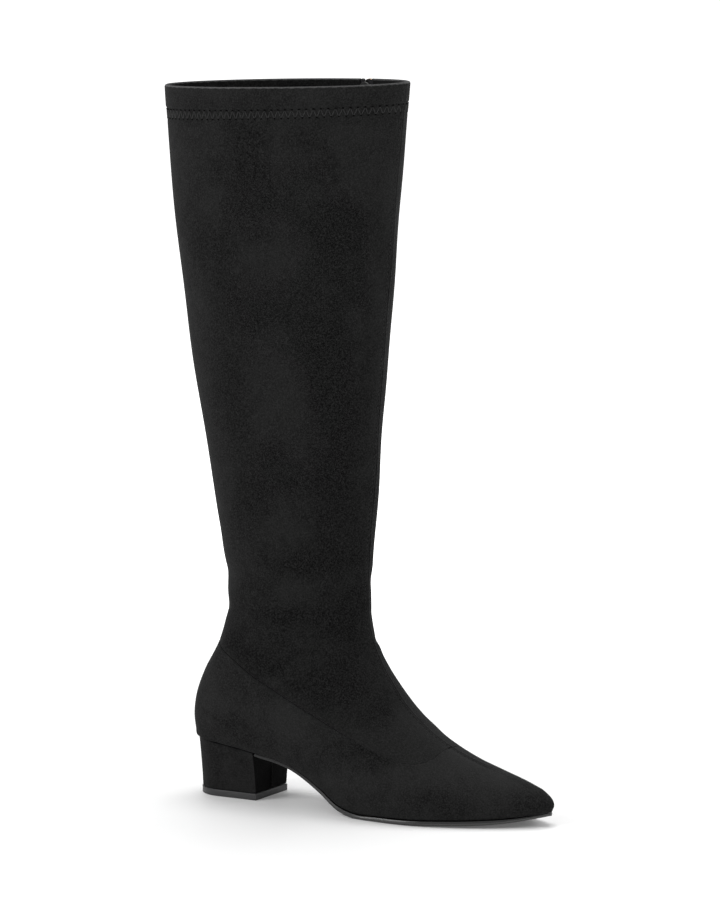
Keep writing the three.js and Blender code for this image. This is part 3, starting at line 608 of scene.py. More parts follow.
class Net:
    """Triangles over the form, with corners held as (station, turn) pairs."""

    def __init__(self, last: Last, stations: Array, turns: Array) -> None:
        """A regular net of two triangles a cell."""
        self.last = last
        s, t = np.meshgrid(stations, turns, indexing="ij")
        self.uv = np.stack([s.ravel(), t.ravel()], axis=1)
        rows, columns = s.shape
        corner = np.arange(rows * columns).reshape(rows, columns)
        a, b = corner[:-1, :-1].ravel(), corner[1:, :-1].ravel()
        c, d = corner[1:, 1:].ravel(), corner[:-1, 1:].ravel()
        even = ((np.arange(rows - 1)[:, None] + np.arange(columns - 1)[None]) % 2 == 0).ravel()
        first = np.where(even[:, None], np.stack([a, c, b], 1), np.stack([a, d, b], 1))
        second = np.where(even[:, None], np.stack([a, d, c], 1), np.stack([b, d, c], 1))
        self.tris = np.concatenate([first, second])
        self.places = measure(last, self.uv)

    def split(self, pick: Callable[[Places], Array], level: float) -> None:
        """Puts corners and edges on the line where a measured field has the given level.

        An edge whose ends lie on different sides is cut where the field, taken as even
        along it, reaches the level; its triangles are divided into two or three.
        """
        values = pick(self.places) - level
        values[np.abs(values) < SNAP] = 0.0
        sign = np.sign(values).astype(int)
        t = self.tris
        corner_sign = sign[t]
        cut = corner_sign * np.roll(corner_sign, -1, axis=1) < 0
        if not cut.any():
            return
        ends = np.stack([t, np.roll(t, -1, axis=1)], axis=2)
        edges, inverse = np.unique(np.sort(ends[cut], axis=1), axis=0, return_inverse=True)
        a, b = edges.T
        part = values[a] / (values[a] - values[b])
        fresh = self.uv[a] + (self.uv[b] - self.uv[a]) * part[:, None]
        middle = np.full(cut.shape, -1)
        middle[cut] = len(self.uv) + inverse.ravel()
        count = cut.sum(axis=1)
        whole = t[count == 0]
        one = np.flatnonzero(count == 1)
        k = cut[one].argmax(axis=1)
        p, q, r = (t[one, (k + i) % 3] for i in range(3))
        m = middle[one, k]
        halves = np.concatenate([np.stack([p, m, r], 1), np.stack([m, q, r], 1)])
        two = np.flatnonzero(count == 2)
        k = ((~cut[two]).argmax(axis=1) + 2) % 3
        p, q, r = (t[two, (k + i) % 3] for i in range(3))
        m, n = middle[two, k], middle[two, (k + 2) % 3]
        thirds = np.concatenate([np.stack([p, m, n], 1), np.stack([m, q, r], 1), np.stack([m, r, n], 1)])
        self.uv = np.concatenate([self.uv, fresh])
        self.tris = np.concatenate([whole, halves, thirds])
        self.places = self.places.joined(measure(self.last, fresh))

    def keep(self, inside: Callable[[Places], Array]) -> None:
        """Keeps the triangles whose middle is inside, and the corners they use."""
        centre = measure(self.last, self.uv[self.tris].mean(axis=1))
        self.tris = self.tris[inside(centre)]
        used, index = np.unique(self.tris, return_inverse=True)
        self.tris = index.reshape(-1, 3)
        self.uv = self.uv[used]
        self.places = self.places.chosen(used)


def weld(points: Array, tris: Array) -> tuple[Array, Array, Array]:
    """Merges corners at the same place and drops triangles that lose their area.

    Returns:
        Points, triangles, and which of the given triangles are kept.
    """
    key = np.round(points, 4) + 0.0
    _, first, inverse = np.unique(key, axis=0, return_index=True, return_inverse=True)
    tris = inverse.ravel()[tris]
    good = (tris[:, 0] != tris[:, 1]) & (tris[:, 1] != tris[:, 2]) & (tris[:, 2] != tris[:, 0])
    return points[first], tris[good], good


def shell(outer: Array, inner: Array, tris: Array) -> tuple[Array, Array, Array]:
    """A closed shell between two layers of the same net.

    Each open edge of the outer layer is joined to the same edge of the inner one.

    Returns:
        Points, triangles, and a mark for each triangle: 0 outer, 1 edge, 2 inner.
    """
    count = len(outer)
    points = np.concatenate([outer, inner])
    _, welded, good = weld(outer, tris)
    ends = np.stack([welded, np.roll(welded, -1, axis=1)], axis=2).reshape(-1, 2)
    pair = np.sort(ends, axis=1)
    _, index, uses = np.unique(pair, axis=0, return_inverse=True, return_counts=True)
    open_edge = uses[index.ravel()] == 1
    own = tris[good]
    own_ends = np.stack([own, np.roll(own, -1, axis=1)], axis=2).reshape(-1, 2)[open_edge]
    a, b = own_ends.T
    sides = np.concatenate([
        np.stack([b, a, a + count], 1),
        np.stack([b, a + count, b + count], 1),
    ])
    every = np.concatenate([tris, tris[:, ::-1] + count, sides])
    mark = np.concatenate([np.zeros(len(tris)), np.full(len(tris), 2), np.ones(len(sides))])
    points, every, good = weld(points, every)
    return points, every, mark[good].astype(int)


def mesh_piece(
    name: str,
    points: Array,
    faces: Array | list,
    materials: Sequence[bpy.types.Material],
    marks: Array | None = None,
    smooth: bool = True,
) -> bpy.types.Object:
    """Makes an object from points in mm and faces of any length.

    Args:
        name: the piece's name.
        points: corners, in mm.
        faces: rows of corner numbers.
        materials: one or more finishes.
        marks: which finish each face takes.
        smooth: whether the faces are shaded as one surface.

    Returns:
        The new object, at the origin.
    """
    mesh = bpy.data.meshes.new(name)
    rows = faces.tolist() if isinstance(faces, np.ndarray) else faces
    mesh.from_pydata((points * MM).tolist(), [], rows)
    for material in materials:
        mesh.materials.append(material)
    if marks is not None:
        mesh.polygons.foreach_set("material_index", np.asarray(marks, np.int32))
    mesh.polygons.foreach_set("use_smooth", np.full(len(mesh.polygons), smooth))
    mesh.update()
    piece = bpy.data.objects.new(name, mesh)
    bpy.context.scene.collection.objects.link(piece)
    LOG.info("%s: %d corners, %d faces", name, len(mesh.vertices), len(mesh.polygons))
    return piece


def bead(length: float, width: float, height: float) -> tuple[Array, list]:
    """A rounded bead of thread: three rings of six corners between two pointed ends.

    The bead lies along its first axis and rises along its third.
    """
    angles = np.arange(6) * math.pi / 3
    across, up = width / 2 * np.cos(angles), height / 2 * np.sin(angles)
    rings = [
        np.stack([np.full(6, x * length / 2), across * r, up * r], 1)
        for x, r in ((-0.72, 0.78), (0.0, 1.0), (0.72, 0.78))
    ]
    points = np.concatenate([*rings, [[-length / 2, 0, 0], [length / 2, 0, 0]]])
    ring_pairs = ((6 * i, 6 * i + 6) for i in (0, 1))
    faces = [[a + j, a + (j + 1) % 6, b + (j + 1) % 6, b + j] for a, b in ring_pairs for j in range(6)]
    faces += [[18, (j + 1) % 6, j] for j in range(6)] + [[19, 12 + j, 12 + (j + 1) % 6] for j in range(6)]
    return points, faces


# ------------------------------------------------------------------ finishes
class Value:
    """A number socket in a material that takes part in sums."""

    def __init__(self, paint: "Paint", socket: bpy.types.NodeSocket) -> None:
        """Wraps a socket of that paint's material."""
        self.paint = paint
        self.socket = socket

    def __add__(self, other: "Value | float") -> "Value":
        """Sum."""
        return self.paint.math("ADD", self, other)

    def __sub__(self, other: "Value | float") -> "Value":
        """Difference."""
        return self.paint.math("SUBTRACT", self, other)

    def __rsub__(self, other: float) -> "Value":
        """A number less this value."""
        return self.paint.math("SUBTRACT", other, self)

    def __mul__(self, other: "Value | float") -> "Value":
        """Product."""
        return self.paint.math("MULTIPLY", self, other)

    __radd__ = __add__
    __rmul__ = __mul__

    def between(self, low: float, high: float) -> "Value":
        """0 below low, 1 above high, with an even slope between."""
        node = self.paint.node(
            "ShaderNodeMapRange",
            {"clamp": True, "interpolation_type": "SMOOTHSTEP"},
            {"Value": self, "From Min": low, "From Max": high},
        )
        return Value(self.paint, node.outputs["Result"])


Colour = tuple[float, float, float]


class Paint:
    """Builds one material from nodes."""

    def __init__(self, name: str) -> None:
        """Starts a material with a Principled surface."""
        self.material = bpy.data.materials.new(name)
        self.material.use_nodes = True
        self.tree = self.material.node_tree
        self.surface = self.tree.nodes["Principled BSDF"]
        coordinates = self.node("ShaderNodeTexCoord", {}, {})
        self.object_place = coordinates.outputs["Object"]

    def node(self, kind: str, settings: Mapping, inputs: Mapping) -> bpy.types.Node:
        """Adds a node, sets its settings and then its sockets' values or links."""
        node = self.tree.nodes.new(kind)
        for key, setting in settings.items():
            setattr(node, key, setting)
        for key, given in inputs.items():
            self.feed(node.inputs[key], given)
        return node

    def feed(self, socket: bpy.types.NodeSocket, given: object) -> None:
        """Links a value or socket to a socket, or sets its number or colour."""
        if isinstance(given, Value):
            self.tree.links.new(given.socket, socket)
        elif isinstance(given, bpy.types.NodeSocket):
            self.tree.links.new(given, socket)
        else:
            socket.default_value = given

    def math(self, operation: str, first: "Value | float", second: "Value | float") -> Value:
        """One Math node on two values."""
        node = self.node("ShaderNodeMath", {"operation": operation}, {0: first, 1: second})
        return Value(self, node.outputs[0])

    def noise(self, scale: float, detail: float, roughness: float = 0.5, place: object = None) -> Value:
        """A noise pattern on the object's own coordinates, in features per metre."""
        node = self.node("ShaderNodeTexNoise", {}, {
            "Vector": place or self.object_place, "Scale": scale, "Detail": detail, "Roughness": roughness,
        })
        return Value(self, node.outputs["Fac"])

    def stretched(self, scale: tuple[float, float, float]) -> bpy.types.NodeSocket:
        """Object coordinates stretched along the axes."""
        node = self.node("ShaderNodeMapping", {}, {"Vector": self.object_place, "Scale": scale})
        return node.outputs["Vector"]

    def attribute(self, name: str) -> Value:
        """A number stored on the mesh."""
        node = self.node("ShaderNodeAttribute", {"attribute_name": name}, {})
        return Value(self, node.outputs["Fac"])

    def mix(self, factor: Value, first: object, second: object) -> bpy.types.NodeSocket:
        """A colour between two colours."""
        node = self.node("ShaderNodeMix", {"data_type": "RGBA"}, {0: factor, 6: first, 7: second})
        return node.outputs[2]

    def bump(self, height: Value, depth: float, strength: float) -> bpy.types.NodeSocket:
        """A bump from a height between 0 and 1, depth in metres."""
        node = self.node("ShaderNodeBump", {}, {"Height": height, "Distance": depth, "Strength": strength})
        return node.outputs["Normal"]

    def finish(self, **sockets: object) -> bpy.types.Material:
        """Sets or links the surface's sockets by name, with _ for a space."""
        for key, given in sockets.items():
            self.feed(self.surface.inputs[key.replace("_", " ")], given)
        return self.material


def solid(colour: Colour) -> tuple[float, float, float, float]:
    """A colour with full opacity."""
    return (*colour, 1.0)


@dataclass(frozen=True)
class Suede:
    """Brushed cloth: dark nap lying in patches, with painted shade and light from the mesh's listed patches,
    a fine fibre grain and a soft sheen.
    """

    name: str
    dark: Colour = (0.0010, 0.0010, 0.0010)
    light: Colour = (0.0074, 0.0075, 0.0074)
    speck: Colour = (0.0215, 0.0217, 0.0215)
    patch: float = 34.0
    sheen: float = 0.05
    placed: float = 0.3

    def make(self) -> bpy.types.Material:
        """Patches from three slow noises and the mesh's painted shade and light with nap tone, grain from two
        fast ones.
        """
        paint = Paint(self.name)
        slow = paint.noise(self.patch, 4.0, 0.62)
        wide = paint.noise(self.patch * 0.35, 2.0)
        brushed = paint.noise(110.0, 4.0, 0.7, paint.stretched((1.0, 1.0, 0.75)))
        grain = paint.noise(1500.0, 2.0, 0.8)
        fibre = paint.noise(900.0, 3.0, 0.8)
        # The mesh attribute adds painted shade and light, with the nap's tone, from the listed patches.
        laid_and_shaded = slow * 0.42 + wide * 0.2 + brushed * 0.38 + paint.attribute("shade_and_nap") * self.placed
        patches = laid_and_shaded.between(0.34, 0.68)
        shade_and_nap = paint.mix(patches, solid(self.dark), solid(self.light))
        specks = (grain * 0.5 + fibre * 0.5).between(0.4, 0.66) * 0.8
        colour = paint.mix(specks, shade_and_nap, solid(self.speck))
        height = grain * 0.5 + fibre * 0.5
        return paint.finish(
            Base_Color=colour,
            Roughness=patches * -0.08 + 0.93,
            Normal=paint.bump(height, 0.0004, 0.8),
            Specular_IOR_Level=0.06,
            Sheen_Weight=self.sheen,
            Sheen_Roughness=0.45,
            Sheen_Tint=solid((0.5, 0.5, 0.52)),
        )


@dataclass(frozen=True)
class Knit:
    """Fine lining or tape cloth with a close rib."""

    name: str
    colour: Colour = (0.010, 0.010, 0.011)
    rib: float = 1400.0

    def make(self) -> bpy.types.Material:
        """Ribs from a wave across the cloth, broken up by fine noise."""
        paint = Paint(self.name)
        wave = paint.node("ShaderNodeTexWave", {"bands_direction": "DIAGONAL"}, {
            "Vector": paint.object_place, "Scale": self.rib / 6.0, "Distortion": 1.5, "Detail": 1.0,
        })
        ribs = Value(paint, wave.outputs["Fac"])
        fuzz = paint.noise(900.0, 2.0)
        lighter = tuple(c * 2.2 for c in self.colour)
        colour = paint.mix((ribs * 0.4 + fuzz * 0.6).between(0.3, 0.8), solid(self.colour), solid(lighter))
        return paint.finish(
            Base_Color=colour,
            Roughness=fuzz * 0.1 + 0.8,
            Normal=paint.bump(ribs * 0.5 + fuzz * 0.5, 0.0002, 0.6),
            Specular_IOR_Level=0.25,
            Sheen_Weight=0.15,
        )


@dataclass(frozen=True)
class Moulded:
    """Moulded rubber or plastic: even colour, fine grain, slight wear."""

    name: str
    colour: Colour
    worn: Colour
    roughness: float = 0.42
    coat: float = 0.0
    grain: float = 700.0
    depth: float = 0.00006
    dull_before: float = -1.0

    def make(self) -> bpy.types.Material:
        """Colour and roughness vary a little with slow smears and fine grain.

        Behind the x of dull_before, in metres, the gloss is worn off.
        """
        paint = Paint(self.name)
        parts = paint.node("ShaderNodeSeparateXYZ", {}, {"Vector": paint.object_place})
        gloss = Value(paint, parts.outputs["X"]).between(self.dull_before - 0.04, self.dull_before)
        smear = paint.noise(48.0, 3.0, 0.6, paint.stretched((0.5, 1.0, 2.0)))
        grain = paint.noise(self.grain, 2.0)
        colour = paint.mix(smear.between(0.42, 0.72) * 0.6, solid(self.colour), solid(self.worn))
        return paint.finish(
            Base_Color=colour,
            Roughness=smear * 0.16 + (self.roughness - 0.08) + (1.0 - gloss) * 0.35,
            Normal=paint.bump(grain, self.depth, 0.5),
            Specular_IOR_Level=0.5,
            Coat_Weight=gloss * self.coat,
            Coat_Roughness=0.2,
        )


@dataclass(frozen=True)
class Plated:
    """Polished metal plate with faint rubbing marks."""

    name: str
    colour: Colour = (0.86, 0.63, 0.43)
    roughness: float = 0.2

    def make(self) -> bpy.types.Material:
        """Rubbing marks are a noise drawn out along the piece."""
        paint = Paint(self.name)
        marks = paint.noise(900.0, 3.0, 0.6, paint.stretched((1.0, 1.0, 0.12)))
        cloud = paint.noise(120.0, 2.0)
        tarnish = tuple(c * 0.82 for c in self.colour)
        colour = paint.mix(cloud.between(0.4, 0.75) * 0.5, solid(self.colour), solid(tarnish))
        return paint.finish(
            Base_Color=colour,
            Metallic=1.0,
            Roughness=marks * 0.14 + (self.roughness - 0.05),
            Normal=paint.bump(marks, 0.00002, 0.4),
        )


@dataclass(frozen=True)
class Thread:
    """Twisted sewing thread."""

    name: str
    colour: Colour = (0.0105, 0.0105, 0.0105)

    def make(self) -> bpy.types.Material:
        """Strands from a fast noise."""
        paint = Paint(self.name)
        strands = paint.noise(2600.0, 2.0)
        lighter = tuple(c * 2.0 for c in self.colour)
        return paint.finish(
            Base_Color=paint.mix(strands.between(0.35, 0.7), solid(self.colour), solid(lighter)),
            Roughness=strands * 0.2 + 0.45,
            Normal=paint.bump(strands, 0.0001, 0.6),
            Specular_IOR_Level=0.16,
        )


# ------------------------------------------------------------------ cloth pieces
@dataclass(frozen=True)
class ZipCut:
    """The zip's opening in the cloth: an even slot that opens into a small V at the collar."""

    half: float = 4.3
    mouth_half: float = 6.2
    mouth_low: float = 441.0
    mouth_high: float = 454.0
    stitch: float = 3.2
    strip_half: float = 6.0

    def half_width(self, z: Array) -> Array:
        """Half-width of the slot at a height."""
        opened = np.clip((z - self.mouth_low) / (self.mouth_high - self.mouth_low), 0.0, 1.0)
        return self.half + (self.mouth_half - self.half) * opened**1.3

    def edge(self, places: Places) -> Array:
        """Distance from the slot, below 0 inside it."""
        z = places.point[:, 2]
        aside = np.abs(places.zip_across) - self.half_width(z)
        below = ZIP_LOW - z
        return np.where(below > 0, np.hypot(np.maximum(aside, 0.0), below), np.maximum(aside, below))

    def strip(self, places: Places) -> Array:
        """Distance from the two lines of the strip that carries on below the slot."""
        low = (places.point[:, 2] < ZIP_LOW + 3.0) & (np.abs(places.zip_across) < 12.0)
        return np.where(low, np.abs(places.zip_across) - self.strip_half, 6.0)

    def border(self, places: Places) -> Array:
        """A pressed edge with a stitched line beside the slot, and the strip's two grooves."""
        edge = self.edge(places)
        line = 0.32 * np.exp(-(((edge - self.stitch) / 0.5) ** 2))
        swell = 0.28 * np.exp(-(((edge - 1.6) / 1.1) ** 2))
        above = smooth_step(-2.0, 1.0, places.point[:, 2] - ZIP_LOW)
        groove = 0.4 * np.exp(-((self.strip(places) / 0.5) ** 2)) * (1.0 - above)
        return (swell - line) * above - groove


ZIP_CUT = ZipCut()


class Skin:
    """The worn surface of the cloth: the form with its folds, joints, hem and pressed edges."""

    def __init__(self, last: Last) -> None:
        """Keeps the form."""
        self.last = last

    def height(self, places: Places) -> Array:
        """Height of the cloth above the plain form, without its rolled edges."""
        loose = sway(places.point)
        for fold in FOLDS:
            loose = loose + fold.height(places)
        hem = hem_part(places.rim)
        loose = loose * smooth_step(0.0, 9.0, places.feather) * (1.0 - 0.6 * hem)
        loose = loose * smooth_step(0.0, 5.0, ZIP_CUT.edge(places))
        lines = 0.5 * np.exp(-(((places.rim - HEM_DEPTH - 0.3) / 0.8) ** 2))
        lines = lines + 0.22 * np.exp(-(((places.rim - HEM_DEPTH - 6.6) / 0.8) ** 2))
        front = (np.abs(places.turn) < 0.5) * smooth_step(16.0, 62.0, places.station)
        since_seat = places.station - self.last.seat
        back = (np.abs(places.turn) > 0.5) * smooth_step(4.0, 16.0, since_seat)
        joints = FRONT_JOINT.height(places.middle) * front + BACK_JOINT.height(places.middle) * back
        pressed = ZIP_CUT.border(places) + TOE_ROUND.height(places)
        return loose + HEM_LIFT * hem - lines + joints * (1 - 0.5 * hem) + pressed

    def raised(self, station: Array, turn: Array, lift: Array | float) -> tuple[Array, Array]:
        """Points at a height above the cloth, and the outward directions there."""
        places = measure(self.last, np.stack([station, turn], axis=1))
        normal = self.last.normal(station, turn)
        return places.point + normal * (self.height(places) + lift)[:, None], normal

    def on_side(self, x: Array, z: Array, lift: Array | float) -> tuple[Array, Array]:
        """Points above the inner side's cloth with the given x and z."""
        station, turn = side_places(self.last, x, z, Side.INNER)
        return self.raised(station, turn, lift)


def seam_fade(places: Places) -> Array:
    """How far the seam between foot and leg is lost in the nap: most beside the instep."""
    return smooth_step(75.0, 115.0, places.point[:, 0]) * smooth_step(3.0, 7.0, places.middle)


@dataclass
class ClothPiece:
    """A closed shell of cloth cut from the form along its seams.

    Attributes:
        name: of the piece.
        node: the CAD node it stands for.
        slot: the record's material slot; not used.
        sign: +1 above the seam, -1 below it.
        stations: first and last station of the net.
        cell: size of a net cell along and around, in mm.
    """

    name: str
    node: str
    slot: str
    sign: float
    stations: tuple[float, float]
    cell: float
    seam_roll: Roll = Roll(0.9, 0.7)
    zip_roll: Roll = Roll(1.2, 1.1)
    rim_roll: Roll = Roll(1.3, 1.3)
    feather_roll: Roll = Roll(1.2, 0.8)
    seam_gap: float = 0.1
    rim_highlight_depth: float = 0.9

    def seam_edge(self, places: Places) -> Array:
        """Distance from the seam, on this piece's side; the gap closes where the seam fades."""
        return places.seam * self.sign - self.seam_gap * (1.0 - 0.9 * seam_fade(places))

    def cut(self, last: Last) -> Net:
        """A net over the piece's stations, with corners along every edge and joint."""
        net = Net(last, self.rows(last), self.turns())
        for level in (0.0, 0.3, 0.8, 1.6):
            net.split(self.seam_edge, level)
        net.keep(lambda places: self.seam_edge(places) > 0.0)
        for level in (0.0, 0.35, 1.1, 1.7, 2.7, 3.2, 3.7, 4.6):
            net.split(ZIP_CUT.edge, level)
        net.keep(lambda places: ZIP_CUT.edge(places) > 0.0)
        for level in (-0.6, 0.0, 0.6):
            net.split(ZIP_CUT.strip, level)
        for level in (0.4, 1.0, 1.9, 2.4, 2.9, 3.9):
            net.split(lambda places: places.middle, level)
        return net

    def build(self, skin: Skin, suede: bpy.types.Material, lining: bpy.types.Material,
              edge: bpy.types.Material) -> None:
        """Cuts the net, shapes both faces and closes the shell.

        Args:
            skin: the cloth's surface.
            suede: finish of the outside and of the hem.
            lining: finish of the inside below the hem.
            edge: painted highlight along the fold at the rim, a lighter suede.
        """
        last = skin.last
        net = self.cut(last)
        places = net.places
        normal = last.normal(places.station, places.turn)
        rim = np.maximum(places.rim, 0.0)
        faint = 1.0 - 0.85 * seam_fade(places)
        drop = np.maximum.reduce([
            self.seam_roll.drop(np.maximum(self.seam_edge(places), 0.0)) * faint,
            self.zip_roll.drop(np.maximum(ZIP_CUT.edge(places), 0.0)),
            self.rim_roll.drop(rim),
            self.feather_roll.drop(places.feather),
        ])
        outer = places.point + normal * (skin.height(places) - drop)[:, None]
        depth = WALL + (HEM_WALL - HEM_LIFT - WALL) * hem_part(places.rim) - self.rim_roll.drop(rim)
        inner = places.point - normal * depth[:, None]
        at_edge = (places.station < last.seat) & (np.abs(places.turn) >= 1.0 - 1e-9)
        inner[at_edge, 2] = np.maximum(inner[at_edge, 2], outer[at_edge, 2])
        points, tris, marks = shell(outer, inner, net.tris)
        middle = points[tris].mean(axis=1)
        back_x, back_z, front_x, front_z = SECTIONS[-1][:4]
        rim_height = np.interp(middle[:, 0], (back_x, front_x), (back_z, front_z))
        inside = (marks == 2) & (middle[:, 2] < rim_height - HEM_DEPTH)
        # Faces just below the rim take the lighter suede: a painted highlight along the fold.
        rim_highlight = middle[:, 2] > rim_height - self.rim_highlight_depth
        piece = mesh_piece(self.name, points, tris, [suede, lining, edge], np.where(rim_highlight, 2, inside))
        # Painted shade and light with the nap's tone, and the blend where leg meets foot, kept on the
        # corners.
        tone = piece.data.attributes.new("shade_and_nap", "FLOAT", "POINT")
        blend = self.sign * NAP_BLEND.at(points[:, [0, 2]])
        tone.data.foreach_set("value", shade_and_nap_tone(points) + blend)
        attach(piece, BOOT_BODY)
        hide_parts(self.node)

    def rows(self, last: Last) -> Array:
        """Stations of the net, with extra ones at the nose, the seat and the hem."""
        low, high = self.stations
        extra = [np.linspace(low, high, int((high - low) / self.cell) + 1)]
        if low == 0.0:
            angles = np.radians(np.arange(6.0, 91.0, 7.0))
            extra.append(last.station_at(TOE_X - NOSE_LENGTH * (1 - np.cos(angles))))
        if low < last.seat < high:
            angles = np.radians(np.arange(4.0, 91.0, 4.3))
            extra.append(last.station_at(SEAT_X + SEAT_RADIUS * (1 - np.cos(angles))))
            extra.append(np.array([last.seat]))
        if high > last.collar - 1.0:
            extra.append(last.collar - np.array([0.12, 0.35, 0.7, 1.1, 1.5]))
            extra.append(last.collar - HEM_DEPTH + np.array([-2.0, -1.2, -0.6, 0.0, 0.6, 1.3]))
        rows = np.unique(np.concatenate(extra).round(4))
        keep = np.r_[True, np.diff(rows) > 0.09] | (np.abs(rows - last.seat) < 1e-3)
        return rows[keep]

    def turns(self) -> Array:
        """Even places around the section, with one on the ridge."""
        half = int(200.0 / self.cell)
        return np.linspace(-1.0, 1.0, 2 * half + 1)


# ------------------------------------------------------------------ stitches
def bead_row(
    name: str, runs: list, size: tuple[float, float], finish: bpy.types.Material,
) -> bpy.types.Object:
    """One bead for every (start, end, outward) of the runs, made as one piece.

    Args:
        name: the piece's name.
        runs: lists of starts, ends and outward directions, each a row of three numbers.
        size: width and height of a bead.
        finish: its material.

    Returns:
        The new object.
    """
    start, end, normal = (np.concatenate([run[i] for run in runs]) for i in range(3))
    length = np.linalg.norm(end - start, axis=1)
    along = unit(end - start)
    across = unit(np.cross(normal, along))
    frames = np.stack([along * length[:, None], across, np.cross(along, across)], axis=1)
    points, faces = bead(1.0, *size)
    placed = np.einsum("pk,nkj->npj", points, frames) + ((start + end) / 2)[:, None]
    count = len(points)
    every = [[corner + i * count for corner in face] for i in range(len(start)) for face in faces]
    piece = mesh_piece(name, placed.reshape(-1, 3), every, [finish])
    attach(piece, BOOT_BODY)
    return piece


@dataclass
class Stitches:
    """All the threads that show: the hem's zigzag and the lines beside joints and zip."""

    thread: float = 0.62
    zigzag_high: float = 14.3
    zigzag_low: float = 19.6
    zigzag_pitch: float = 4.6
    straight_pitch: float = 2.8
    gap: float = 0.16
    hole: float = 0.65
    prick_size: tuple[float, float] = (1.1, 0.7)

    def zigzag(self, skin: Skin) -> tuple[Array, Array, Array]:
        """Starts and ends of the zigzag's threads, from one zip edge round to the other."""
        last = skin.last
        turns = np.linspace(-1.0, 1.0, 4001)
        ring = last.point(np.full_like(turns, last.collar - 17.0), turns)
        lengths = np.r_[0.0, np.cumsum(np.linalg.norm(np.diff(ring, axis=0), axis=1))]
        count = int(round(lengths[-1] / self.zigzag_pitch)) * 2
        turn = np.interp(np.linspace(0.0, lengths[-1], count, endpoint=False), lengths, turns)
        high = np.arange(count) % 2 == 0
        station = last.collar - np.where(high, self.zigzag_high, self.zigzag_low)
        point, normal = skin.raised(station, turn, np.where(high, 0.3, 0.05))
        after = np.roll(np.arange(count), -1)
        aside = np.abs(measure(last, np.stack([station, turn], axis=1)).zip_across)
        clear = (aside > 6.6) & (aside[after] > 6.6)
        return point[clear], point[after][clear], normal[clear]

    def straight(self, line: Array, normal: Array) -> tuple[Array, Array, Array]:
        """Stitches with short gaps along a line, at an even pitch."""
        even = resample(np.concatenate([line, normal * 1e-3], axis=1), self.straight_pitch)
        start, end = even[:-1, :3], even[1:, :3]
        return start + (end - start) * self.gap, end - (end - start) * self.gap, unit(even[:-1, 3:])

    def beside_middle(self, skin: Skin, offset: float, low: float, high: float, back: bool) -> tuple:
        """A line at a sideways distance from the ridge, or from the back line."""
        last = skin.last
        station = np.linspace(low, high, 700)
        turn = np.full_like(station, 0.97 if back else 0.03)
        side = math.copysign(1.0, offset)
        for _ in range(12):
            here = np.abs(last.point(station, turn * side)[:, 1] - last.value("ridge", station))
            ratio = abs(offset) / np.maximum(here, 1e-6)
            turn = 1.0 - (1.0 - turn) * ratio if back else turn * ratio
        return self.straight(*skin.raised(station, turn * side, 0.12))

    def beside_zip(self, skin: Skin, side: int, low: float, high: float) -> tuple:
        """A line beside the zip's slot."""
        z = np.linspace(low, high, 700)
        x = np.interp(z, ZIP_LINE[:, 1], ZIP_LINE[:, 0]) + side * (ZIP_CUT.half_width(z) + ZIP_CUT.stitch)
        return self.straight(*skin.on_side(x, z, 0.1))

    def build(self, skin: Skin, thread: bpy.types.Material, hole: bpy.types.Material) -> None:
        """Makes the zigzag, its needle holes as near-black beads of painted shade, and the straight stitches,
        each as one piece.
        """
        last = skin.last
        corners = self.zigzag(skin)
        zigzag = bead_row("hem_zigzag", [corners], (self.thread * 1.25, self.thread), thread)
        # Near-black beads at the zigzag's corners: painted shade in the needle holes.
        aside = unit(np.cross([0.0, 0.0, 1.0], corners[2])) * self.hole
        pricks = [(corners[0] - aside, corners[0] + aside, corners[2])]
        pierced = bead_row("needle_hole_shades", pricks, self.prick_size, hole)
        below_hem, above_seat = last.collar - HEM_DEPTH - 7.5, last.seat + 18.0
        runs = []
        for side in (-1, 1):
            front, back = side * FRONT_JOINT.stitch, side * BACK_JOINT.stitch
            runs.append(self.beside_middle(skin, front, 44.0, below_hem, False))
            runs.append(self.beside_middle(skin, front, last.collar - 12.5, last.collar - 1.8, False))
            runs.append(self.beside_middle(skin, back, above_seat, below_hem, True))
            runs.append(self.beside_zip(skin, side, ZIP_LOW + 1.0, 432.5))
        lines = bead_row("joint_stitches", runs, (self.thread * 0.7, self.thread * 0.5), thread)


def side_places(last: Last, x: Array, z: Array, side: Side) -> tuple[Array, Array]:
    """Stations and turns whose points have the given x and z on one side of the boot.

    Each step solves the two straight-line equations for x and z about the last guess.
    """
    x, z = np.broadcast_arrays(np.asarray(x, float), np.asarray(z, float))
    station = np.interp(z, (0.0, 40.0, 80.0, 130.0, 450.0), (60.0, 150.0, 190.0, 240.0, last.collar - 5.0))
    turn = np.full_like(station, 0.5) * side.value
    step = 0.001
    for _ in range(40):
        here = last.point(station, turn)
        by_station = (last.point(station + 0.5, turn) - here) / 0.5
        by_turn = (last.point(station, turn + step) - here) / step
        det = by_station[..., 0] * by_turn[..., 2] - by_turn[..., 0] * by_station[..., 2]
        det = np.where(np.abs(det) < 1e-6, 1e-6, det)
        dx, dz = x - here[..., 0], z - here[..., 2]
        move_s = (dx * by_turn[..., 2] - by_turn[..., 0] * dz) / det
        move_t = (by_station[..., 0] * dz - dx * by_station[..., 2]) / det
        station = np.clip(station + np.clip(move_s, -25, 25), 1.0, last.collar - 0.6)
        turn = np.clip(turn + np.clip(move_t, -0.1, 0.1), -0.98, 0.98)
    return station, turn


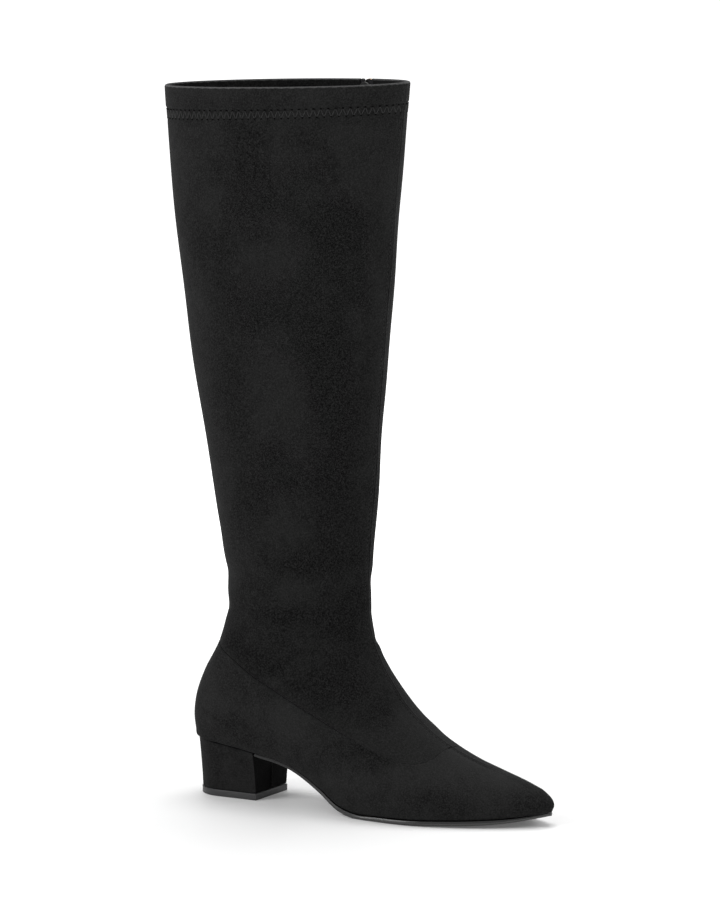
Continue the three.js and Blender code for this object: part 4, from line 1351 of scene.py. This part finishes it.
# ------------------------------------------------------------------ zip
@dataclass
class Zip:
    """The zip's two woven tapes and its coils, locked below the slider and parted above it."""

    pitch: float = 1.5
    coil_half: float = 4.0
    depth: float = -0.55
    locked_high: float = 439.0
    parted_low: float = 447.5
    top: float = 453.2

    def parted(self, z: Array) -> Array:
        """How far each row of coils has moved from the middle."""
        return 2.2 * np.clip((z - 443.0) / 10.0, 0.0, 1.0)

    def coils(self, skin: Skin, finish: bpy.types.Material) -> None:
        """Loops across each row; the two rows stand half a pitch apart and meet in the middle."""
        runs = []
        lengths = ((ZIP_LOW + 1.2, self.locked_high, -0.5), (self.parted_low, self.top, 0.6))
        for side in (-1, 1):
            for low, high, reach in lengths:
                z = np.arange(low + (0.5 * self.pitch if side > 0 else 0.0), high, self.pitch)
                x = np.interp(z, ZIP_LINE[:, 1], ZIP_LINE[:, 0])
                start, normal = skin.on_side(x + side * (reach + self.parted(z)), z, self.depth - 0.1)
                end, _ = skin.on_side(x + side * (self.coil_half + self.parted(z)), z + 0.35, self.depth)
                runs.append((start, end, normal))
        piece = bead_row("zip_coils", runs, (1.2, 1.7), finish)
        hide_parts("zip_chain")

    def tapes(self, skin: Skin, finish: bpy.types.Material) -> None:
        """A woven strip under each row of coils, set below the cloth's edge."""
        z = np.linspace(ZIP_LOW + 0.6, self.top, 260)
        x = np.interp(z, ZIP_LINE[:, 1], ZIP_LINE[:, 0])
        for name, side in (("zip_tape_back", -1), ("zip_tape_front", 1)):
            corners = ((0.05, -1.3), (4.9, -1.25), (4.9, -1.7), (0.05, -1.75))
            shift = self.parted(z)
            rows = [skin.on_side(x + side * (across + shift), z, lift)[0] for across, lift in corners]
            loft(name, np.stack(rows, axis=1), finish, "")

    def build(self, skin: Skin, coil: bpy.types.Material, tape: bpy.types.Material) -> None:
        """Makes coils and tapes."""
        self.tapes(skin, tape)
        self.coils(skin, coil)


def loft(name: str, ring: Array, finish: bpy.types.Material, node: str) -> bpy.types.Object:
    """Joins rings of corners into a closed body; each end is one flat face.

    Args:
        name: the piece's name.
        ring: rings by corners by three numbers, in mm.
        finish: its material.
        node: the CAD node it stands for, or an empty text.

    Returns:
        The new object, shaded flat across its sharp edges.
    """
    count, sides = ring.shape[:2]
    index = np.arange(count * sides).reshape(count, sides)
    a, b = index[:-1], index[1:]
    faces = np.stack([a, np.roll(a, -1, 1), np.roll(b, -1, 1), b], axis=-1).reshape(-1, 4).tolist()
    faces += [index[0, ::-1].tolist(), index[-1].tolist()]
    points = ring.reshape(-1, 3)
    piece = mesh_piece(name, points, outward(points, faces), [finish])
    piece.data.set_sharp_from_angle(angle=math.radians(38.0))
    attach(piece, BOOT_BODY)
    if node:
        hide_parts(node)
    return piece


def outward(points: Array, faces: list) -> list:
    """Faces turned round if they enclose a negative volume."""
    volume = 0.0
    for face in faces:
        fan = points[face]
        volume += float((fan[0] * np.cross(fan[1:-1], fan[2:])).sum())
    return faces if volume > 0 else [face[::-1] for face in faces]


@dataclass(frozen=True)
class Plate:
    """A flat plate across the zip with rounded edges and, if wanted, a window.

    Attributes:
        outline: its corners as places across and up, in mm.
        low: where its thickness begins, outwards from the leg.
        high: where its thickness ends.
        window: the window's corners, as many as the outline's, or none.
    """

    outline: Array
    low: float
    high: float
    window: Array | None = None

    def mesh(self) -> tuple[Array, list]:
        """Corners and faces about the slider's own origin."""
        count = len(self.outline)

        def layer(flat: Array, out: float) -> Array:
            """Corners of a flat outline at one depth."""
            return np.stack([flat[:, 0], np.full(count, out), flat[:, 1]], axis=1)

        loops = [layer(self.outline, self.low), layer(self.outline, self.high)]
        numbers = np.arange(count)
        after = np.roll(numbers, -1)
        faces = np.stack([numbers, after, after + count, numbers + count], axis=1).tolist()
        if self.window is None:
            faces += [numbers[::-1].tolist(), (numbers + count).tolist()]
            return np.concatenate(loops), faces
        loops += [layer(self.window, self.low), layer(self.window, self.high)]
        low_in, high_in = numbers + 2 * count, numbers + 3 * count
        faces += np.stack([low_in, high_in, np.roll(high_in, -1), np.roll(low_in, -1)], axis=1).tolist()
        faces += np.stack([numbers, low_in, np.roll(low_in, -1), after], axis=1).tolist()
        faces += np.stack([numbers + count, after + count, np.roll(high_in, -1), high_in], axis=1).tolist()
        return np.concatenate(loops), faces


def rounded_box(low: tuple[float, float], high: tuple[float, float], radius: float, steps: int = 5) -> Array:
    """Corners of a rectangle with rounded corners, in order round it."""
    corners = []
    for cx, cy, start in (
        (high[0] - radius, low[1] + radius, -90.0), (high[0] - radius, high[1] - radius, 0.0),
        (low[0] + radius, high[1] - radius, 90.0), (low[0] + radius, low[1] + radius, 180.0),
    ):
        angles = np.radians(start + np.linspace(0.0, 90.0, steps))
        corners.append(np.stack([cx + radius * np.cos(angles), cy + radius * np.sin(angles)], axis=1))
    return np.concatenate(corners)


@dataclass
class Fastener:
    """The slider and its pull tab, in polished plate.

    Both are drawn about the slider's middle: across the zip, away from the leg, and up it.

    Attributes:
        last: the form that the slider stands on.
        hinge: the pull's joint, as the frame gives it.
        hinge_out: from the slider's middle to the joint, away from the leg, in mm.
        hinge_up: from the slider's middle to the joint, up the zip, in mm.
        plated_from: where the gold finish begins, away from the leg, in mm; nearer the leg the faces are near
            black.
    """

    last: Last
    hinge: Mapping
    hinge_out: float = 3.65
    hinge_up: float = 1.2
    plated_from: float = 1.0

    def seat(self) -> tuple[Array, Array]:
        """The slider's middle, and its directions across the zip, away from the leg and up.

        The joint gives the direction across and a place on it. Each step takes the
        direction away from the leg where the last middle lies on the form.
        """
        across = unit(np.array(self.hinge["axis"]))
        pin = np.array(self.hinge["pos_m"]) / MM
        middle = pin
        for _ in range(3):
            station, turn = side_places(self.last, middle[:1], middle[2:], Side.INNER)
            normal = self.last.normal(station, turn)[0]
            out = unit(normal - across * (normal @ across))
            up = np.cross(across, out)
            middle = pin - self.hinge_out * out - self.hinge_up * up
        return middle, np.stack([across, out, up])

    def place(self, name: str, parts: list, bevel: float, plate: bpy.types.Material,
              dark: bpy.types.Material) -> bpy.types.Object:
        """Makes one piece of closed parts, turned to the zip, with rounded edges.

        Faces nearer the leg than plated_from take the dark finish.
        """
        points, faces, count = [], [], 0
        for corners, rows in parts:
            rows = outward(corners, rows)
            faces += [[corner + count for corner in row] for row in rows]
            points.append(corners)
            count += len(corners)
        flat = np.concatenate(points)
        behind = [int(flat[row, 1].mean() < self.plated_from) for row in faces]
        middle, axes = self.seat()
        piece = mesh_piece(name, flat @ axes + middle, faces, [plate, dark], np.array(behind))
        rounding = piece.modifiers.new("rounding", "BEVEL")
        rounding.width = bevel * MM
        rounding.segments = 3
        rounding.limit_method = "ANGLE"
        rounding.angle_limit = math.radians(40.0)
        rounding.harden_normals = True
        return piece

    def shield(self, width: float, length: float) -> Array:
        """A smooth shield: pointed round top, broad shoulders, sides drawn in below."""
        half = (
            (0.0, -0.5), (0.3, -0.49), (0.47, -0.4), (0.56, -0.24), (0.78, -0.1), (0.97, 0.03),
            (0.98, 0.14), (0.78, 0.31), (0.44, 0.46), (0.0, 0.51),
        )
        line = smooth_line([(x * width / 2, z * length) for x, z in half], 36)
        return np.concatenate([line, (line * [-1, 1])[::-1][1:-1]])

    def bridge(self) -> tuple[Array, list]:
        """The rail that holds the pull: an arch seen from the side, 2.6 mm wide."""
        face, roof, top = 2.1, 5.1, 6.4
        arch = [
            (face, -3.8), (top - 1.6, -3.8), (top - 0.4, -2.9), (top, -1.6), (top, 1.6),
            (top - 0.4, 2.9), (top - 1.6, 3.8), (face, 3.8),
            (face, 2.2), (roof, 2.2), (roof, -2.2), (face, -2.2),
        ]
        flat = np.array(arch) + [0.0, self.hinge_up]
        count = len(flat)
        layers = [np.stack([np.full(count, side * 1.3), flat[:, 0], flat[:, 1]], axis=1) for side in (-1, 1)]
        n = np.arange(count)
        after = np.roll(n, -1)
        faces = np.stack([n, after, after + count, n + count], axis=1).tolist()
        for quad in ((0, 1, 10, 11), (1, 2, 3, 10), (3, 4, 9, 10), (4, 5, 6, 9), (6, 7, 8, 9)):
            faces += [list(quad[::-1]), [corner + count for corner in quad]]
        return np.concatenate(layers), faces

    def build(self, gold: bpy.types.Material, dark: bpy.types.Material) -> None:
        """Makes slider and pull."""
        slider = self.place("slider_body", [
            Plate(self.shield(13.6, 15.6), 0.95, 2.2).mesh(),
            Plate(self.shield(10.5, 12.0), -3.7, -2.7).mesh(),
            Plate(rounded_box((-1.6, -3.0), (1.6, 5.0), 0.6), -2.8, 1.0).mesh(),
            self.bridge(),
        ], 0.28, gold, dark)
        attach(slider, BOOT_BODY)
        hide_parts("zip_slider")
        out, up = self.hinge_out, self.hinge_up
        top = up + 0.9
        tab = Plate(
            rounded_box((-3.45, top - 32.0), (3.45, top), 0.9),
            out - 0.6, out + 0.6, rounded_box((-1.85, top - 10.0), (1.85, top - 1.8), 0.7),
        )
        ridge = Plate(rounded_box((-2.7, top - 26.6), (2.7, top - 25.9), 0.2, 3), out + 0.4, out + 0.8)
        panel = Plate(rounded_box((-2.3, top - 25.3), (2.3, top - 11.6), 0.3, 3), out + 0.4, out + 0.72)
        pull = self.place("pull_tab", [tab.mesh(), ridge.mesh(), panel.mesh()], 0.2, gold, dark)
        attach(pull, PULL_BODY)
        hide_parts("zip_pull")


# ------------------------------------------------------------------ sole, heel and insole
@dataclass
class Bottom:
    """Outsole, heel block, top piece and insole."""

    gap: float = 0.3
    sole_thickness: float = 3.2
    sole_shank: float = 2.2
    sole_toe: float = 2.0
    sole_proud: float = 0.5
    breast_x: float = 24.5
    heel_length: float = 47.0
    heel_width: float = 38.0
    heel_radius: float = 19.0
    heel_flare: float = 1.4
    piece_height: float = 4.3
    piece_proud: float = 0.35
    insole_thickness: float = 2.0
    insole_inset: float = 3.2
    top_round: float = 0.7
    low_round: float = 1.15
    waist_inset: float = 1.3
    cap_inset: float = 3.0

    def places(self, front: float, back: float) -> Array:
        """Places along X, close together at the nose."""
        angles = np.radians(np.arange(5.0, 91.0, 5.0))
        nose = TOE_X - NOSE_LENGTH * (1 - np.cos(angles))
        rest = np.linspace(nose[-1], back, int((nose[-1] - back) / 1.5))
        return np.r_[nose[nose <= front], rest[1:]]

    def outsole(self, last: Last, rubber: bpy.types.Material) -> None:
        """The sole unit: its outline is the feather edge pushed out a little."""
        x = self.places(TOE_X, self.breast_x + 2 * self.gap)
        z, outer, inner = last.bottom(x)
        shank = smooth_step(40.0, 100.0, x)
        toe = smooth_step(180.0, TOE_X, x)
        thickness = self.sole_shank + (self.sole_thickness - self.sole_shank) * shank
        thickness = thickness - (self.sole_thickness - self.sole_toe) * toe
        top = z - self.gap
        low = np.maximum(top - thickness, 0.0)
        tall = top - low
        turn = np.radians(np.linspace(90.0, 0.0, 7))
        top_corner = self.top_round * np.stack([np.cos(turn) - 1, np.sin(turn) - 1], axis=1)
        low_corner = self.low_round * np.stack([np.cos(turn) - 1, 1 - np.sin(turn)], axis=1)[::-1]
        swell = 0.25
        proud = self.sole_proud * shank - self.waist_inset * (1.0 - shank)
        tip = TOE_ROUND.tuck * TOE_ROUND.near(x)
        side_out, side_in = outer + proud - 0.5 * tip, inner + proud - 0.5 * tip
        size = np.minimum(1.0, (side_out + side_in) / 5.0)
        across, height = [], []
        for inset, drop in top_corner:
            across.append(inset * size)
            height.append(top + drop * np.minimum(1.0, tall / 2.4))
        for k in (0.35, 0.5, 0.65):
            across.append(np.full_like(x, swell * math.sin(math.pi * k)) * size)
            height.append(top - tall * k)
        for inset, rise in low_corner:
            across.append(inset * size)
            height.append(low + rise * np.minimum(1.0, tall / 2.4))
        across, height = np.array(across), np.array(height)
        along = np.broadcast_to(x - tip, across.shape)
        middle = (side_in - side_out) / 2
        left = np.stack([along, np.minimum(-(side_out + across), middle - 0.1), height], axis=-1)
        right = np.stack([along, np.maximum(side_in + across, middle + 0.1), height], axis=-1)
        ring = np.concatenate([left, right[::-1]]).transpose(1, 0, 2)
        loft("outsole_unit", ring, rubber, "outsole")

    def outline(self, back: float, front: float, radius: float, half: Callable, side: float) -> Array:
        """One side of a heel outline from the breast back round to the middle of the back."""
        angles = np.radians(np.linspace(90.0, 0.0, 25))
        straight = np.linspace(front, back + radius, 14)[:-1]
        x = np.r_[straight, back + radius * (1 - np.cos(angles))]
        opened = np.r_[np.ones(13), np.sin(angles)]
        return np.stack([x, side * half(x) * opened], axis=1)

    def heel_rings(self, last: Last, low_proud: float, levels: Array) -> Array:
        """Rings of the heel from the top piece up to the seat: straight in X, flared in Y."""
        half_low = self.heel_width / 2 + low_proud
        front_low = self.heel_length / 2 + low_proud

        def widths(side: int) -> Callable:
            """Half-width of the seat on one side at a place along it."""
            return lambda x: last.bottom(np.clip(x, SEAT_X + SEAT_RADIUS, self.breast_x))[side]

        radius_low = self.heel_radius + low_proud
        lower = [self.outline(-front_low, front_low, radius_low, lambda x: half_low, s) for s in (-1, 1)]
        upper = [
            self.outline(SEAT_X, self.breast_x, SEAT_RADIUS, widths(1), -1),
            self.outline(SEAT_X, self.breast_x, SEAT_RADIUS, widths(2), 1),
        ]
        low = np.concatenate([lower[0], lower[1][::-1][1:]])
        high = np.concatenate([upper[0], upper[1][::-1][1:]])
        bottom = self.piece_height + self.gap
        top = last.bottom(np.maximum(high[:, 0], SEAT_X + 0.02))[0] - self.gap
        part = levels[:, None]
        x = low[:, 0] + (high[:, 0] - low[:, 0]) * part
        y = low[:, 1] + (high[:, 1] - low[:, 1]) * part**self.heel_flare
        z = bottom + (top - bottom) * part
        return np.stack([x, y, z], axis=-1)

    def heel(self, last: Last, suede: bpy.types.Material, breast: bpy.types.Material) -> None:
        """The covered block: its cloth wraps round onto the breast and is rolled in at both ends; the
        breast's faces take a near-black suede, painted shade.
        """
        levels = np.r_[0.0, 0.004, 0.012, np.linspace(0.03, 0.97, 26), 0.988, 0.996, 1.0]
        ring = self.heel_rings(last, 0.0, levels)
        edge = np.minimum(levels, 1 - levels) * 30.0
        pull = Roll(0.7, 0.45).drop(edge)
        flat = ring[:, :, :2]
        reach = np.linalg.norm(flat, axis=-1, keepdims=True)
        ring[:, :, :2] = flat * (1 - pull[:, None, None] / np.maximum(reach, 1.0))
        cap = ring[-1] * [1.0 - self.cap_inset / 24.0, 1.0 - self.cap_inset / 24.0, 1.0]
        cap[:, 2] = last.bottom(cap[:, 0])[0] - 0.03
        ring = np.concatenate([ring, cap[None]])
        block = loft("heel_block", ring, suede, "heel")
        block.data.materials.append(breast)
        facing = np.empty(len(block.data.polygons) * 3)
        block.data.polygons.foreach_get("normal", facing)
        # Faces turned to the toe take the near-black suede: painted shade on the breast.
        front = facing.reshape(-1, 3)[:, 0] > 0.9
        block.data.polygons.foreach_set("material_index", front.astype(np.int32))
        z = np.linspace(self.piece_height + 0.6, last.bottom(np.array([self.breast_x]))[0][0] - 0.8, 30)
        line = np.stack([np.full(30, self.breast_x - 0.45), np.zeros(30), z], axis=1)
        for side in (-1, 1):
            fold = line + [0.0, side * 0.42, 0.0]
            out = np.tile([1.0, 0.0, 0.0], (29, 1))
            name = "breast_seam_in" if side > 0 else "breast_seam_out"
            seam = bead_row(name, [(fold[:-1], fold[1:], out)], (0.8, 0.5), suede)

    def top_piece(self, rubber: bpy.types.Material) -> None:
        """The tread piece under the heel: a flat slab with rounded edges, flat on the floor."""
        proud = self.piece_proud
        half = self.heel_width / 2 + proud
        front = self.heel_length / 2 + proud
        sides = [self.outline(-front, front, self.heel_radius + proud, lambda x: half, s) for s in (-1, 1)]
        flat = np.concatenate([sides[0], sides[1][::-1][1:]])
        turn = np.radians(np.linspace(0.0, 90.0, 6))
        levels = [(0.5 * (1 - math.sin(a)), 0.5 * (1 - math.cos(a))) for a in turn]
        height = self.piece_height
        levels += [(0.0, 2.1), (0.0, height - 0.25), (0.08, height - 0.08), (0.25, height)]
        rings = []
        for inset, z in levels:
            reach = np.linalg.norm(flat, axis=1, keepdims=True)
            shrunk = flat * (1 - inset / reach)
            rings.append(np.concatenate([shrunk, np.full((len(flat), 1), z)], axis=1))
        loft("heel_top", np.array(rings), rubber, "heel_top_piece")

    def insole(self, last: Last, lining: bpy.types.Material) -> None:
        """The sock: a soft slab on the insole board, with rounded edges."""
        front = TOE_X - self.insole_inset - 1.0
        back = SEAT_X + self.insole_inset
        angles = np.radians(np.arange(8.0, 91.0, 8.2))
        nose = front - NOSE_LENGTH * (1 - np.cos(angles))
        seat_length = SEAT_RADIUS - self.insole_inset
        seat = back + seat_length * (1 - np.cos(angles))
        middle = np.linspace(nose[-1], seat[-1], 90)[1:-1]
        x = np.r_[nose, middle, seat[::-1]]
        z, outer, inner = last.bottom(x)
        _, full_out, full_in = last.bottom(np.clip(x, SEAT_X + SEAT_RADIUS, TOE_X - NOSE_LENGTH))
        opened = np.where(x > 90.0, round_end(front - x, NOSE_LENGTH), round_end(x - back, seat_length))
        half = ((full_in + full_out) / 2 - self.insole_inset) * opened
        limit = (inner + outer) / 2 - self.insole_inset
        reach = np.maximum(np.minimum(half, limit), 0.6)
        centre = (inner - outer) / 2
        thick = self.insole_thickness
        profile = ((-0.9, 0.0), (0.0, 0.35), (0.0, 1.3), (-0.35, 1.75), (-1.0, thick))
        columns = []
        for inset, height in profile:
            columns.append(np.stack([x, centre - np.maximum(reach + inset, 0.2), z + height], axis=1))
        for k in np.linspace(-0.8, 0.8, 9):
            columns.append(np.stack([x, centre + k * reach, z + thick + 0.25 * np.cos(k * 1.4)], axis=1))
        for inset, height in reversed(profile):
            columns.append(np.stack([x, centre + np.maximum(reach + inset, 0.2), z + height], axis=1))
        ring = np.stack(columns, axis=1)
        loft("insole_sock", ring, lining, "insole")

    def build(self, last: Last, finishes: Mapping[str, bpy.types.Material]) -> None:
        """Makes the four pieces."""
        self.outsole(last, finishes["sole"])
        self.heel(last, finishes["suede"], finishes["breast"])
        self.top_piece(finishes["rubber"])
        self.insole(last, finishes["lining"])


@dataclass(frozen=True)
class Studio:
    """Floor, soft light and camera."""

    azimuth: float = 30.0
    elevation: float = 8.2
    distance: float = 3.5
    lens: float = 225.4
    aim: tuple[float, float, float] = (0.08, 0.0, 0.215)
    right_shift: float = 0.0072
    up_shift: float = 0.0093

    def build(self) -> None:
        """Adds floor, world, lamps and camera."""
        self.floor()
        self.world()
        self.lamps()
        self.camera()

    def floor(self) -> None:
        """A pale floor that glows, painted light: dim near the boot and strong far from it, so that it fades
        into the pale surroundings.
        """
        paint = Paint("pale_floor")
        length = paint.node("ShaderNodeVectorMath", {"operation": "LENGTH"}, {0: paint.object_place})
        far = Value(paint, length.outputs["Value"]).between(0.2, 1.1)
        # Painted light: the floor's own glow, weak near the boot and strong far away.
        glow = paint.mix(far, solid((0.10, 0.10, 0.10)), solid((0.75, 0.75, 0.75)))
        finish = paint.finish(
            Base_Color=solid((0.86, 0.86, 0.86)), Roughness=0.5, Specular_IOR_Level=0.3,
            Emission_Color=glow, Emission_Strength=1.0,
        )
        reach = 30000.0
        points = np.array([[-reach, -reach, 0], [reach, -reach, 0], [reach, reach, 0], [-reach, reach, 0]])
        floor = mesh_piece("floor", points, [[0, 1, 2, 3]], [finish], smooth=False)

    def world(self) -> None:
        """Even pale light from all round."""
        world = bpy.data.worlds.new("pale_room")
        bpy.context.scene.world = world
        world.use_nodes = True
        background = world.node_tree.nodes["Background"]
        background.inputs["Color"].default_value = (1.0, 1.0, 1.0, 1.0)
        background.inputs["Strength"].default_value = 0.5
        bpy.context.scene.view_settings.view_transform = "Standard"

    def lamps(self) -> None:
        """A broad key light from the front left, a side light and a top light."""
        self.lamp("key", (-1.5, -2.5, 1.9), 1.5, 52.0)
        self.lamp("side", (2.4, 0.6, 1.6), 1.2, 18.0)
        self.lamp("top", (-0.2, 0.6, 2.6), 1.6, 46.0)

    def lamp(self, name: str, place: tuple[float, float, float], size: float, power: float) -> None:
        """A square area light turned towards the middle of the boot."""
        light = bpy.data.lights.new(name, "AREA")
        light.size = size
        light.energy = power
        lamp = bpy.data.objects.new(name, light)
        lamp.location = place
        lamp.rotation_euler = (Vector(self.aim) - Vector(place)).to_track_quat("-Z", "Y").to_euler()
        bpy.context.scene.collection.objects.link(lamp)

    def camera(self) -> None:
        """A long lens at the viewing angle, aimed so that the boot is in the middle."""
        azimuth, elevation = math.radians(self.azimuth), math.radians(self.elevation)
        right = Vector((math.cos(azimuth), math.sin(azimuth), 0.0))
        back = Vector((
            math.sin(azimuth) * math.cos(elevation),
            -math.cos(azimuth) * math.cos(elevation),
            math.sin(elevation),
        ))
        up = back.cross(right)
        aim = Vector(self.aim) + right * self.right_shift + up * self.up_shift
        data = bpy.data.cameras.new("camera")
        data.sensor_fit = "VERTICAL"
        data.sensor_height = 24.0
        data.lens = self.lens * 24.0 / 36.0
        data.clip_end = 80.0
        camera = bpy.data.objects.new("camera", data)
        camera.location = aim + back * self.distance
        camera.rotation_euler = (-back).to_track_quat("-Z", "Y").to_euler()
        bpy.context.scene.collection.objects.link(camera)
        bpy.context.scene.camera = camera


# ------------------------------------------------------------------ the whole
def grey(level: float) -> Colour:
    """An even grey."""
    return (level, level, level)


def main() -> None:
    """Builds the boot around the frame, piece by piece."""
    logging.basicConfig(level=logging.INFO, format="%(name)s %(message)s")
    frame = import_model()
    skin = Skin(Last())
    last = skin.last
    lining = Knit("lining").make()
    vamp = Suede("foot_suede", grey(0.0018), (0.0116, 0.0117, 0.0116), (0.0240, 0.0242, 0.0240)).make()
    suede = Suede("shaft_suede").make()
    # A lighter suede with more sheen along the rim's fold: painted highlight.
    rim_highlight = Suede("rim_highlight_suede", grey(0.02), grey(0.035), grey(0.08), sheen=0.2).make()
    foot = ClothPiece("foot_upper", "upper", "foot_suede", -1.0, (0.0, 270.0), 1.75)
    foot.build(skin, vamp, lining, rim_highlight)
    leg = ClothPiece("leg_shaft", "shaft", "shaft_suede", 1.0, (60.0, last.collar), 2.8)
    leg.build(skin, suede, lining, rim_highlight)
    # Near-black suede without sheen for the needle holes: painted shade.
    hole = Suede("needle_hole_shade", grey(0.0002), grey(0.0004), grey(0.0008), sheen=0.0)
    Stitches().build(skin, Thread("thread").make(), hole.make())
    coil = Moulded("zip_coil", (0.006, 0.006, 0.007), (0.012, 0.012, 0.013), 0.2)
    Zip().build(skin, coil.make(), Knit("zip_tape", (0.005, 0.005, 0.006)).make())
    # A near-black finish for the slider's faces nearer the leg.
    inner_dark = Moulded("inner_plate_dark", grey(0.006), grey(0.010), 0.4)
    hinge = next(joint for joint in frame["joints"] if joint["child"] == PULL_BODY)
    Fastener(last, hinge).build(Plated("light_gold").make(), inner_dark.make())
    Bottom().build(last, {
        "sole": Moulded("sole_rubber", grey(0.008), grey(0.014), 0.26, 0.4, dull_before=0.11).make(),
        "suede": Suede("heel_suede", grey(0.0024), grey(0.0120), grey(0.021)).make(),
        # Near-black suede for the heel's breast: painted shade.
        "breast": Suede(
            "breast_suede", (0.0015, 0.0015, 0.0016), (0.003, 0.003, 0.0031), grey(0.006), sheen=0.0,
        ).make(),
        "rubber": Moulded("top_rubber", (0.018, 0.018, 0.019), (0.028, 0.028, 0.029), 0.5).make(),
        "lining": lining,
    })
    Studio().build()


if __name__ == "__main__":
    main()
